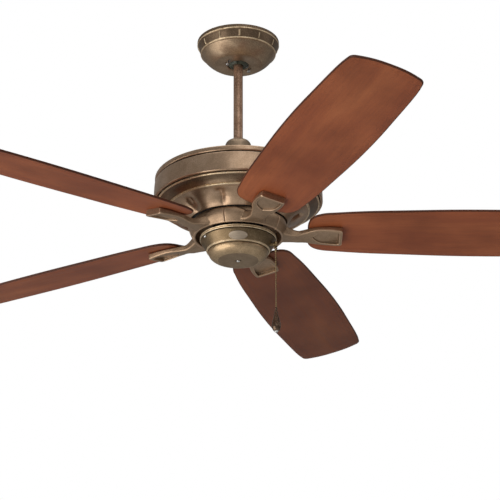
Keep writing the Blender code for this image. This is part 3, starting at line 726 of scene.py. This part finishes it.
def screw_head(name, radius, height, shank, depth, material, cross=True):
    """A pan head on its shank, with a cross or a slot; the head's underside is at z = 0."""
    profile = [(0, height)] + smooth_line([
        (radius * 0.30, height), (radius * 0.62, height * 0.93),
        (radius * 0.88, height * 0.68), (radius, height * 0.28),
    ], 4) + [(radius, 0), (shank, 0), (shank, -depth), (0, -depth)]
    head = turned(name, [(profile, 0)], [material], 32)
    slot = (radius * 1.5 if cross else radius * 3, radius * 0.30, height)
    cutters = [box_cutter(slot, (0, 0, height))]
    if cross:
        cutters.append(box_cutter((slot[1], slot[0], height), (0, 0, height)))
    return final_mesh(carve(head, *cutters))


def canopy_screws():
    mesh = screw_head("canopy_screw", 0.0038, 0.0028, 0.0020, 0.0120, STEEL, cross=False)
    for number in (1, 2):
        azimuth = CANOPY_SCREW_AZIMUTH + (number - 1) * math.pi
        screw = object_of(f"canopy_screw_{number}_fine", mesh)
        screw.location = polar(CANOPY_SCREW_CIRCLE, azimuth, -CANOPY_DROP - 0.0040)
        screw.rotation_euler = (math.pi, 0, math.radians(25))
        piece(screw, "ceiling", "bright_screw", f"canopy_screw_{number}")


def hanger_ball():
    top, bottom = 0.0205, -0.0195
    start, end = (math.degrees(math.asin(z / BALL_RADIUS)) for z in (top, bottom))
    outer = arc((0, 0), BALL_RADIUS, start, end, 28)
    bore = ROD_RADIUS + 0.0003
    recess = bottom + 0.0012
    face = [(0.0140, bottom), (0.0132, recess), (bore + 0.0010, recess), (bore, recess + 0.0010)]
    ball = turned("moulded_ball", [(outer + face + [(bore, top)], 0)], [BALL], 96)
    ball.location = (0, 0, BALL_Z)
    outside, depth_to, half_wide = BALL_RADIUS + 0.004, 0.0210, 0.0026
    ring = turned("groove", [([
        (outside, -half_wide), (outside, half_wide), (depth_to, half_wide), (depth_to, -half_wide),
    ], 0)], [BALL], 96)
    ring.rotation_euler = (0, math.pi / 2, 0)
    ring.location = (0, 0, BALL_Z)
    front = box_cutter((0.04, 0.04, 0.08), (0, -0.0210, BALL_Z))
    combine(ring, front, "INTERSECT")
    groove = object_of("groove_front", final_mesh(ring))
    bpy.data.objects.remove(front, do_unlink=True)
    groove.rotation_euler = (0, math.pi / 2, 0)
    groove.location = (0, 0, BALL_Z)
    ball = carve(ball, groove)
    piece(ball, "hanging", "ball_polymer", "hanger_ball")


def rod_and_bell():
    top, bottom = -0.020, -0.2665
    tube = [
        (ROD_RADIUS - 0.0006, top), (ROD_RADIUS, top - 0.0006), (ROD_RADIUS, -0.10),
        (ROD_RADIUS, -0.18), (ROD_RADIUS, bottom), (ROD_BORE, bottom), (ROD_BORE, top),
    ]
    rod = turned("rod_tube", [(tube, 0)], [ROD_BRONZE], 64)
    pin_bore, through = 0.0034, 0.04
    holes = [
        round_cutter(pin_bore, through, (0, 0, z), (0, math.pi / 2, 0)) for z in (-0.030, -0.2560)
    ]
    piece(carve(rod, *holes), "hanging", "rod_bronze", "downrod")

    outer = smooth_line([
        (0.0108, -0.2233), (0.0150, -0.2235), (0.0190, -0.2244), (0.0225, -0.2266), (0.0252, -0.2305),
        (0.0268, -0.2360), (0.0280, -0.2440), (0.0286, -0.2540), (0.0291, -0.2660), (0.0296, -0.2760),
        (0.0299, -0.2795),
    ])
    inner = [
        (0.0288, -0.2795), (0.0275, -0.2540), (0.0256, -0.2360), (0.0214, -0.2278), (0.0160, -0.2248),
        (0.0108, -0.2246),
    ]
    bell = turned("bell_cover", [(outer + inner, 0)], [BELL_BRONZE], 96)
    piece(bell, "hanging", "bronze", "coupling_cover")


# Motor housing


def housing_top():
    outer = [(0.0110, -0.2804)] + smooth_line([
        (0.0320, -0.2804), (0.0450, -0.2830), (0.0800, -0.2880), (0.1200, -0.2955), (0.1500, -0.3030),
        (0.1632, -0.3070),
    ])
    inner = [(r, z - 0.0015) for r, z in reversed(outer)]
    cover = turned("top_cover", [(outer + inner, 0)], [CANOPY_BRONZE], FINE)
    vents, middle, z = 8, 0.1000, -0.2920
    length, width, through = slot = (0.0240, 0.0060, 0.0400)
    cutters = []
    for i in range(vents):
        azimuth = math.tau * (i + 0.5) / vents
        cutters.append(box_cutter(slot, polar(middle, azimuth, z), (0, 0, azimuth)))
        for radius in (middle - length / 2, middle + length / 2):
            cutters.append(round_cutter(width / 2, through, polar(radius, azimuth, z)))
    piece(carve(cover, *cutters), "hanging", "bronze", "housing_top")


def flywheel():
    """The rubber wheel between the motor and the hub ring, seen as the dark gap above the arms."""
    low, high = (corner[2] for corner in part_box("flywheel"))
    hub, rim, shoulder, edge = 0.0500, 0.0915, -0.3920, 0.0008
    profile = [
        (hub, high), (hub, shoulder), (rim - edge, shoulder), (rim, shoulder - edge),
        (rim, low + edge), (rim - edge, low), (0.0300, low), (0.0300, high),
    ]
    disc = turned("flywheel_disc", [(profile, 0)], [RUBBER], FINE)
    piece(disc, "rotor", "rubber", "flywheel")


def housing_band():
    rim = smooth_line([
        (0.1640, -0.3077), (0.1652, -0.3079), (0.1663, -0.3087), (0.1668, -0.3100),
        (0.1669, -0.3130), (0.1668, -0.3160), (0.1662, -0.3174), (0.1652, -0.3182),
    ])
    groove = [(0.1648, -0.3188), (0.1648, -0.3206), (0.1654, -0.3212)]
    wall = smooth_line([
        (0.1664, -0.3215), (0.1672, -0.3224), (0.1677, -0.3270), (0.1682, -0.3350), (0.1686, -0.3450),
        (0.1688, -0.3540), (0.1688, -0.3580), (0.1682, -0.3598), (0.1668, -0.3607), (0.1650, -0.3608),
    ])
    inside = [
        (0.1640, -0.3604), (0.1666, -0.3588), (0.1672, -0.3560), (0.1658, -0.3230), (0.1634, -0.3206),
        (0.1634, -0.3188), (0.1650, -0.3165), (0.1650, -0.3100), (0.1640, -0.3090),
    ]
    # The groove below the band's rim takes the near-black painted shade.
    band = turned("motor_band", [(rim, 0), (groove, 1), (wall + inside, 0)], [BRONZE, PAINTED_SHADE], FINE)
    piece(band, "hanging", "bronze", "housing_band")


PETALS = 10
PETAL_TOP, PETAL_FOOT = -0.3798, -0.4047
PETAL_DEPTH = 0.0095


def petal_relief(radius, z, azimuth):
    """Ten bulging petals: the skin falls back in a narrow valley between each two."""
    if z > PETAL_TOP or radius > 0.1385:
        return radius, z
    fall = min(1.0, (PETAL_TOP - z) / (PETAL_TOP - PETAL_FOOT))
    step = math.tau / PETALS
    seam = FIRST_BLADE - 1.5 * BLADE_STEP
    away = abs((azimuth - seam + step / 2) % step - step / 2) / (step / 2)
    rise = min(1.0, fall / 0.28)
    close = max(0.0, (fall - 0.55) / 0.45)
    depth = PETAL_DEPTH * eased(rise) * (1 - 0.60 * eased(close))
    valley = (1 - away) ** (4.2 - 1.6 * fall)
    inward, upward = 0.555, 0.832
    return radius - inward * depth * valley, z + upward * depth * valley * (1 - 0.85 * close)


def housing_bowl():
    flange = [(0.1588, -0.3570), (0.1600, -0.3570), (0.1600, -0.3612), (0.1612, -0.3612)]
    upper_bead = bead((0.1608, -0.3632), 0.0021, 28)
    cove = smooth_line([
        (0.1594, -0.3651), (0.1582, -0.3656), (0.1550, -0.3664), (0.1512, -0.3679), (0.1478, -0.3703),
        (0.1452, -0.3731), (0.1432, -0.3756),
    ])
    lower_bead = bead((0.1410, -0.3774), 0.0021, 38)
    petals = smooth_line([
        (0.1388, -0.3793), (0.1374, -0.3798), (0.1340, -0.3806), (0.1285, -0.3832), (0.1225, -0.3868),
        (0.1165, -0.3910), (0.1110, -0.3952), (0.1060, -0.3994), (0.1025, -0.4027),
    ])
    foot = smooth_line([(0.1010, -0.4041), (0.1000, -0.4048), (0.0985, -0.4049), (0.0976, -0.4043)], 4)
    inside = [
        (0.0982, -0.4032), (0.1010, -0.4012), (0.1095, -0.3940), (0.1205, -0.3860), (0.1330, -0.3790),
        (0.1375, -0.3780), (0.1420, -0.3750), (0.1500, -0.3668), (0.1588, -0.3634),
    ]
    # The cove between the two beads takes the darker cove bronze: painted shade.
    bowl = turned(
        "petal_bowl",
        [(flange, 0), (upper_bead, 1), (cove, 2), (lower_bead, 1), (petals + foot + inside, 0)],
        [BRONZE, GOLD, COVE_SHADE_BRONZE], 360, petal_relief,
    )
    piece(bowl, "hanging", "bronze", "housing_bowl")


# Blades, arms and plates


def tilted(azimuth):
    """One blade's frame: X outward, and its counter-clockwise edge lower."""
    return (
        Matrix.Translation((0, 0, BLADE_Z))
        @ Matrix.Rotation(azimuth, 4, "Z")
        @ Matrix.Rotation(-BLADE_PITCH, 4, "X")
    )


def blade_outline(steps=6):
    """Points round the blade in its own plane."""
    points = mirrored([
        (BLADE_ROOT, 0.0000), (BLADE_ROOT + 0.0010, 0.0340), (BLADE_ROOT + 0.0070, 0.0490),
        (BLADE_ROOT + 0.0220, 0.0600), (BLADE_ROOT + 0.0550, 0.0660), (0.3440, 0.0762),
        (0.4800, BLADE_HALF_WIDTH), (0.6000, 0.0778), (0.7390, 0.0697), (0.7520, 0.0655),
        (0.7580, 0.0555), (BLADE_TIP, 0.0000),
    ])[:-1]
    curve = bpy.data.curves.new("blade_curve", "CURVE")
    curve.dimensions = "2D"
    curve.fill_mode = "NONE"
    curve.resolution_u = steps
    spline = curve.splines.new("BEZIER")
    spline.bezier_points.add(len(points) - 1)
    for bezier, (x, y) in zip(spline.bezier_points, points):
        bezier.co = (x, y, 0)
        bezier.handle_left_type = bezier.handle_right_type = "AUTO"
    spline.use_cyclic_u = True
    mesh = final_mesh(object_of("blade_curve", curve))
    return [(v.co.x, v.co.y) for v in mesh.vertices]


def drawn_in(outline, inset):
    """The outline made smaller by the inset at its ends and its widest place."""
    middle = (BLADE_ROOT + BLADE_TIP) / 2
    along = 1 - 2 * inset / (BLADE_TIP - BLADE_ROOT)
    across = 1 - inset / BLADE_HALF_WIDTH
    return [(middle + (x - middle) * along, y * across) for x, y in outline]


def blade_mesh():
    """A board with rounded edges, whose lower face has a wide, shallow bevel round a flat panel."""
    outline = blade_outline()
    thick = BLADE_HALF_THICK
    levels = [
        (0.0150, -thick), (0.0138, -thick + 0.0001), (0.0020, -thick + 0.0012),
        (0.0006, -thick + 0.0016), (0.0000, -thick + 0.0026), (0.0000, thick - 0.0010),
        (0.0003, thick - 0.0003), (0.0010, thick),
    ]
    bm = bmesh.new()
    loops = [[bm.verts.new((x, y, z)) for x, y in drawn_in(outline, inset)] for inset, z in levels]
    skin(bm, loops)
    bm.faces.index_update()
    for face in bm.faces:
        if len(face.verts) == 4 and face.index // len(outline) >= EDGE_LEVEL:
            face.material_index = 1
    ends = [face for face in bm.faces if len(face.verts) > 4]
    bmesh.ops.triangulate(bm, faces=ends)
    return final_mesh(finished("blade", bm, [CHERRY, EDGE_CHERRY], 3))


def arm_section(station, count=28):
    """A rounded section across the arm, rolled about its own top centre."""
    x, half, top, height, roll = station
    turn = -BLADE_PITCH * roll
    power = 2 / 6.5
    points = []
    for i in range(count):
        angle = math.tau * (i + 0.5) / count
        across, up = math.cos(angle), math.sin(angle)
        y = half * math.copysign(abs(across) ** power, across)
        z = height / 2 * (math.copysign(abs(up) ** power, up) - 1)
        points.append((
            x, y * math.cos(turn) - z * math.sin(turn), top + y * math.sin(turn) + z * math.cos(turn)
        ))
    return points


def arm_neck():
    """The swan neck from the hub ring to the pad under the blade."""
    under_blade = BLADE_Z - BLADE_HALF_THICK / math.cos(BLADE_PITCH) - 0.0003
    stations = smooth_line([
        (0.0860, 0.0270, -0.4135, 0.0210, 0.0),
        (0.0960, 0.0222, -0.4162, 0.0198, 0.0),
        (0.1060, 0.0178, -0.4205, 0.0165, 0.15),
        (0.1180, 0.0155, -0.4246, 0.0130, 0.5),
        (0.1300, 0.0170, -0.4245, 0.0115, 0.9),
        (0.1390, 0.0195, under_blade, 0.0110, 1.0),
        (0.1500, 0.0235, under_blade, 0.0105, 1.0),
        (0.1650, 0.0260, under_blade, 0.0105, 1.0),
        (0.1850, 0.0268, under_blade, 0.0120, 1.0),
        (0.2020, 0.0252, under_blade, 0.0135, 1.0),
        (0.2062, 0.0230, under_blade, 0.0132, 1.0),
    ], 5)
    bm = bmesh.new()
    skin(bm, [[bm.verts.new(point) for point in arm_section(station)] for station in stations])
    neck = finished("neck", bm, [])

    panel = smooth_line(mirrored([
        (0.1470, 0), (0.1545, 0.0105), (0.1640, 0.0180), (0.1850, 0.0208), (0.1985, 0.0190),
        (0.2000, 0.0150), (0.2000, 0),
    ]), 4)[:-1]
    pivot, slant = 0.175, math.radians(-2)
    recess = object_of("recess", outline_mesh("recess", panel, 0.0040, 0.0004))
    recess.matrix_world = (
        tilted(0) @ Matrix.Translation((pivot, 0, -0.0140))
        @ Matrix.Rotation(slant, 4, "Y") @ Matrix.Translation((-pivot, 0, 0))
    )
    return carve(neck, recess)


def ring_sector():
    """One arm's fifth of the hub ring, whose upper edge dips towards the arm."""
    section = smooth_line([
        (0.0915, -0.4064), (0.0945, -0.4067), (0.0972, -0.4078), (0.0984, -0.4100), (0.0985, -0.4140),
        (0.0972, -0.4200), (0.0945, -0.4265), (0.0914, -0.4326), (0.0902, -0.4350), (0.0890, -0.4359),
        (0.0872, -0.4360), (0.0852, -0.4352),
    ], 3) + [
        (0.0846, -0.4335), (0.0846, -0.4085), (0.0560, -0.4082), (0.0500, -0.4080), (0.0500, -0.4036),
        (0.0915, -0.4036),
    ]
    half_gap = math.radians(0.25)
    spread = BLADE_STEP / 2 - half_gap
    dip_depth, dip_reach = 0.0115, math.radians(26)
    steps = 60
    bm = bmesh.new()
    loops = []
    for i in range(steps + 1):
        azimuth = spread * (2 * i / steps - 1)
        dip = dip_depth * eased(max(0.0, 1 - abs(azimuth) / dip_reach))
        loop = []
        for radius, z in section:
            share = max(0.0, min(1.0, (z + 0.4350) / 0.0270)) if radius > 0.0916 else 0.0
            loop.append(bm.verts.new(polar(radius, azimuth, z - dip * share)))
        loops.append(loop)
    skin(bm, loops)
    return finished("sector", bm, [])


def arm_mesh():
    """Sector and neck cast as one: their union is remeshed finely, softened and thinned."""
    sector = ring_sector()
    neck = arm_neck()
    bm = bmesh.new()
    bm.from_mesh(sector.data)
    bm.from_mesh(neck.data)
    for part in (sector, neck):
        bpy.data.objects.remove(part, do_unlink=True)
    cast = finished("arm", bm, [])
    remesh = cast.modifiers.new("Cast", "REMESH")
    remesh.mode = "VOXEL"
    remesh.voxel_size = 0.0007
    cast = object_of("arm", final_mesh(cast))
    root = cast.vertex_groups.new(name="root")
    root_end, root_fade, ring_foot = 0.134, 0.014, -0.4345
    for vert in cast.data.vertices:
        share = (root_end - vert.co.x) / root_fade
        if share > 0 and vert.co.z > ring_foot:
            root.add([vert.index], min(1.0, share), "REPLACE")
    for name, iterations, group in (("Blend", 16, root.name), ("Soften", 2, "")):
        soften = cast.modifiers.new(name, "SMOOTH")
        soften.factor = 0.5
        soften.iterations = iterations
        soften.vertex_group = group
    thin = cast.modifiers.new("Thin", "DECIMATE")
    thin.ratio = 0.3
    mesh = final_mesh(cast)
    mesh.materials.clear()
    mesh.materials.append(ARM_BRONZE)
    mesh.shade_smooth()
    return mesh


def plate_mesh():
    """The plate on the blade's top with its three screws."""
    base = BLADE_HALF_THICK + 0.0003
    half_thick = 0.00075
    corners = smooth_line(mirrored([
        (0.1455, 0), (0.1470, 0.0085), (0.1660, 0.0165), (0.1860, 0.0240), (0.1970, 0.0245),
        (0.2000, 0.0210), (0.2000, 0),
    ]), 5)[:-1]
    plate = object_of("plate", outline_mesh("plate", corners, half_thick, 0.0004))
    plate.location = (0, 0, base + half_thick)
    head = screw_head("plate_screw", 0.0044, 0.0020, 0.0024, 0.0060, BRIGHT)
    screws = []
    for x, y in SCREW_SPOTS:
        screw = object_of("plate_screw", head)
        screw.location = (x, y, base + 0.0014)
        combine(plate, screw, "UNION")
        screws.append(screw)
    bpy.context.view_layer.update()
    mesh = final_mesh(plate)
    mesh.transform(Matrix.Translation((0, 0, base + half_thick)))
    for screw in screws:
        bpy.data.objects.remove(screw, do_unlink=True)
    mesh.materials.clear()
    mesh.materials.append(ARM_BRONZE)
    return mesh


def blades():
    arm, board, plate = arm_mesh(), blade_mesh(), plate_mesh()
    # One blade takes the darker veneer: painted shade.
    shaded_board = board.copy()
    shaded_board.materials[0] = SHADED_CHERRY
    for number in range(1, BLADE_COUNT + 1):
        azimuth = FIRST_BLADE + (number - 1) * BLADE_STEP
        wood = shaded_board if number == SHADED_BLADE else board
        for name, mesh, matrix, slot, node in (
            ("cast_arm", arm, Matrix.Rotation(azimuth, 4, "Z"), "arm_bronze", "blade_arm"),
            ("cherry_blade", wood, tilted(azimuth), "cherry_wood", "blade"),
            ("screw_plate", plate, tilted(azimuth), "arm_bronze", "blade_plate"),
        ):
            obj = object_of(f"{name}_{number}", mesh)
            obj.matrix_world = matrix
            piece(obj, "rotor", slot, f"{node}_{number}")


# Switch housing


def switch_housing():
    rim = smooth_line([
        (0.0730, -0.4348), (0.0742, -0.4343), (0.0754, -0.4347), (0.0759, -0.4357), (0.0755, -0.4367),
        (0.0748, -0.4372), (0.0753, -0.4378), (0.0762, -0.4389), (0.0760, -0.4401), (0.0749, -0.4409),
    ], 4)
    groove = [(0.0736, -0.4411), (0.0734, -0.4421)]
    wall = smooth_line([
        (0.0743, -0.4424), (0.0741, -0.4436), (0.0725, -0.4468), (0.0695, -0.4518), (0.0663, -0.4566),
        (0.0640, -0.4600), (0.0630, -0.4613),
    ])
    lip = bead((0.0620, -0.4626), 0.0013, 35) + [(0.0607, -0.4641)]
    foot = smooth_line([(0.0604, -0.4646), (0.0596, -0.4651), (0.0588, -0.4652)], 3)
    inside = [
        (0.0588, -0.4643), (0.0594, -0.4636), (0.0614, -0.4606), (0.0722, -0.4430), (0.0722, -0.4408),
        (0.0742, -0.4396), (0.0730, -0.4386), (0.0730, -0.4360),
    ]
    # The groove under the rim takes the near-black painted shade.
    body = turned(
        "switch_body", [(rim, 1), (groove, 2), (wall, 0), (lip, 1), (foot + inside, 0)],
        [SWITCH_BRONZE, GOLD, PAINTED_SHADE], FINE,
    )

    def side_hole(bore, length, radius, azimuth, z):
        return round_cutter(bore, length, polar(radius, azimuth, z), (0, math.pi / 2, azimuth))

    body = carve(
        body,
        side_hole(0.0037, 0.04, 0.070, CHAIN_AZIMUTH, CHAIN_EXIT_Z),
        box_cutter((0.0124, 0.0400, 0.0050), (0, 0.0700, REVERSE_Z)),
        side_hole(0.0022, 0.03, 0.075, HOUSING_SCREW_AZIMUTH, HOUSING_SCREW_Z),
        side_hole(0.0022, 0.03, 0.075, HOUSING_SCREW_AZIMUTH + math.pi, HOUSING_SCREW_Z),
    )
    piece(body, "hanging", "bronze", "switch_housing")

    head = screw_head("housing_screw", 0.0036, 0.0020, 0.0018, 0.0045, BRIGHT)
    for number in (1, 2):
        azimuth = HOUSING_SCREW_AZIMUTH + (number - 1) * math.pi
        screw = object_of(f"side_screw_{number}", head)
        screw.location = polar(0.0747, azimuth, HOUSING_SCREW_Z)
        screw.rotation_euler = (0, math.pi / 2, azimuth)
        piece(screw, "hanging", "bright_screw", f"housing_screw_{number}")


def switch_cap():
    outer = smooth_line([
        (0.0578, -0.4656), (0.0587, -0.4657), (0.0592, -0.4664), (0.0592, -0.4680), (0.0584, -0.4705),
        (0.0565, -0.4740), (0.0535, -0.4772), (0.0495, -0.4800), (0.0455, -0.4817), (0.0425, -0.4826),
        (0.0400, -0.4831),
    ])
    disc = [(0.0390, -0.4833), (0.0300, -0.4833), (0.0062, -0.4833), (0.0057, -0.4830)]
    inner = [
        (0.0057, -0.4820), (0.0390, -0.4820), (0.0476, -0.4797), (0.0546, -0.4746), (0.0577, -0.4688),
        (0.0578, -0.4668),
    ]
    # The cap's bulge takes the brighter cap bronze: painted highlight.
    cap = turned("lower_cap", [(outer, 0), (disc, 1), (inner, 0)], [CAP_LIT_BRONZE, DISC], FINE)
    piece(cap, "hanging", "bronze", "switch_cap")

    flange = [(0, -0.4800), (0.0070, -0.4800), (0.0072, -0.4802), (0.0072, -0.4815), (0.0070, -0.4817)]
    flange += [(0.0044, -0.4817)]
    button = smooth_line([
        (0.0038, -0.4819), (0.0038, -0.4840), (0.0037, -0.4846), (0.0030, -0.4852), (0.0015, -0.4855),
    ], 4) + [(0, -0.4856)]
    # The flange, seen only through the gap round the button, takes the near-black painted shade.
    obj = turned("plug_button", [(flange, 1), (button, 0)], [BRIGHT, PAINTED_SHADE], SMALL)
    piece(obj, "hanging", "bright_screw", "cap_plug")


def badge():
    """A plain oval plate with a raised rim, bent to the housing's cone."""
    length, height, rise = 0.0370, 0.0185, 0.0011
    slope = math.atan2(0.0741 - 0.0624, 0.4620 - 0.4430)
    levels = [(1.0, -0.0006), (1.0, rise * 0.5), (0.985, rise), (0.93, rise), (0.90, rise * 0.45)]
    steps = 72
    bm = bmesh.new()
    loops = []
    for share, up in levels:
        loop = []
        for i in range(steps):
            x, y, _ = polar(share, math.tau * i / steps)
            loop.append(bm.verts.new((length / 2 * x, height / 2 * y, up)))
        loops.append(loop)
    skin(bm, loops, ends=False)
    centre = bm.verts.new((0, 0, rise * 0.62))
    back = bm.verts.new((0, 0, levels[0][1]))
    for i in range(steps):
        j = (i + 1) % steps
        bm.faces.new((loops[-1][i], loops[-1][j], centre))
        bm.faces.new((loops[0][j], loops[0][i], back))
    bmesh.ops.recalc_face_normals(bm, faces=bm.faces)
    bend = 0.0680
    for vert in bm.verts:
        vert.co.z -= bend - math.sqrt(bend * bend - vert.co.x ** 2)
    plate = finished("oval_badge", bm, [BADGE_METAL])
    plate.location = (0, -0.0678, -0.4560)
    plate.rotation_euler = (math.pi / 2 + slope, 0, 0)
    piece(plate, "hanging", "badge", "badge")


# Frame nodes that keep their own shape


def keep_frame_nodes():
    for material, names in (
        (ZINC, ("hanger_bracket", "shaft_coupling", "switch_plate")),
        (STEEL, (
            "ball_pin", "ball_set_screw", "clevis_pin", "coupling_screw_1", "coupling_screw_2",
            "motor_shaft", "bearing_upper", "bearing_lower", "shaft_nut",
        )),
        (CAST, ("rotor_cover_top", "rotor_cover_bottom")),
        (LAMINATIONS, ("stator_core", "rotor_ring")),
        (COPPER, ("winding_upper", "winding_lower")),
        (PLASTIC, ("pull_switch", "capacitor", "reverse_switch", "reverse_lever")),
        (JACKET, ("lead_wires",)),
    ):
        for name in names:
            mesh = frame["nodes"][name].data
            mesh.materials.clear()
            mesh.materials.append(material)


# Studio


def add_light(name, location, size, power, colour, target=(0, 0, -0.40)):
    data = bpy.data.lights.new(name, "AREA")
    data.size = size
    data.energy = power
    data.color = colour
    light = object_of(name, data)
    light.location = location
    light.rotation_euler = (Vector(target) - Vector(location)).to_track_quat("-Z", "Y").to_euler()


def studio():
    bm = bmesh.new()
    bmesh.ops.create_grid(bm, x_segments=1, y_segments=1, size=60)
    surface = Surface(
        "studio_floor", Roughness=0.9, Base_Color=(0.86, 0.86, 0.85, 1), Emission_Strength=0.93
    )
    sight = surface.node("LightPath").outputs["Is Camera Ray"]
    glow = surface.mix(sight, (0.0, 0.0, 0.0), (0.72, 0.72, 0.715))
    surface.link(glow, surface.shader.inputs["Emission Color"])
    floor = finished("floor", bm, [surface.material])
    floor.location = (0, 0, FLOOR_Z)

    add_light("key", (-3.2, -1.5, -2.9), 5.2, 200, (1.0, 0.97, 0.93))
    add_light("front", (0.8, -4.4, 1.2), 3.4, 34, (1.0, 0.98, 0.95))
    add_light("edge", (3.4, -0.6, 0.7), 1.8, 9, (1.0, 0.98, 0.96))
    add_light("floor_wash", (0, -1.0, 3.5), 4.0, 110, (1.0, 1.0, 1.0), (0, -1.0, 0))

    world = bpy.data.worlds.new("studio")
    world.use_nodes = True
    tree = world.node_tree
    tree.nodes.clear()

    def add(kind):
        return tree.nodes.new("ShaderNode" + kind)

    seen = add("Background")
    seen.inputs["Color"].default_value = (1, 1, 1, 1)
    seen.inputs["Strength"].default_value = 1.0
    lit = add("Background")
    lit.inputs["Strength"].default_value = 0.40
    place = add("TexCoord")
    split = add("SeparateXYZ")
    ramp = add("ValToRGB")
    stops = ramp.color_ramp.elements
    stops.remove(stops[1])
    stops[0].position, stops[0].color = 0.0, (0.60, 0.59, 0.58, 1)
    for position, grey in ((0.30, 0.42), (0.42, 0.20), (0.50, 0.28), (0.62, 0.62), (1.0, 0.75)):
        stops.new(position).color = (grey, grey, grey, 1)
    height = add("MapRange")
    height.inputs["From Min"].default_value = -1
    choice = add("MixShader")
    path = add("LightPath")
    output = add("OutputWorld")
    for source, target in (
        (place.outputs["Generated"], split.inputs[0]),
        (split.outputs["Z"], height.inputs["Value"]),
        (height.outputs["Result"], ramp.inputs["Fac"]),
        (ramp.outputs["Color"], lit.inputs["Color"]),
        (path.outputs["Is Camera Ray"], choice.inputs[0]),
        (lit.outputs[0], choice.inputs[1]),
        (seen.outputs[0], choice.inputs[2]),
        (choice.outputs[0], output.inputs["Surface"]),
    ):
        tree.links.new(source, target)
    bpy.context.scene.world = world
    bpy.context.scene.view_settings.view_transform = "Standard"


add_camera()
pull_chain()
chain_bushing()
canopy()
canopy_screws()
hanger_ball()
rod_and_bell()
housing_top()
housing_band()
housing_bowl()
flywheel()
blades()
switch_housing()
switch_cap()
badge()
keep_frame_nodes()
studio()
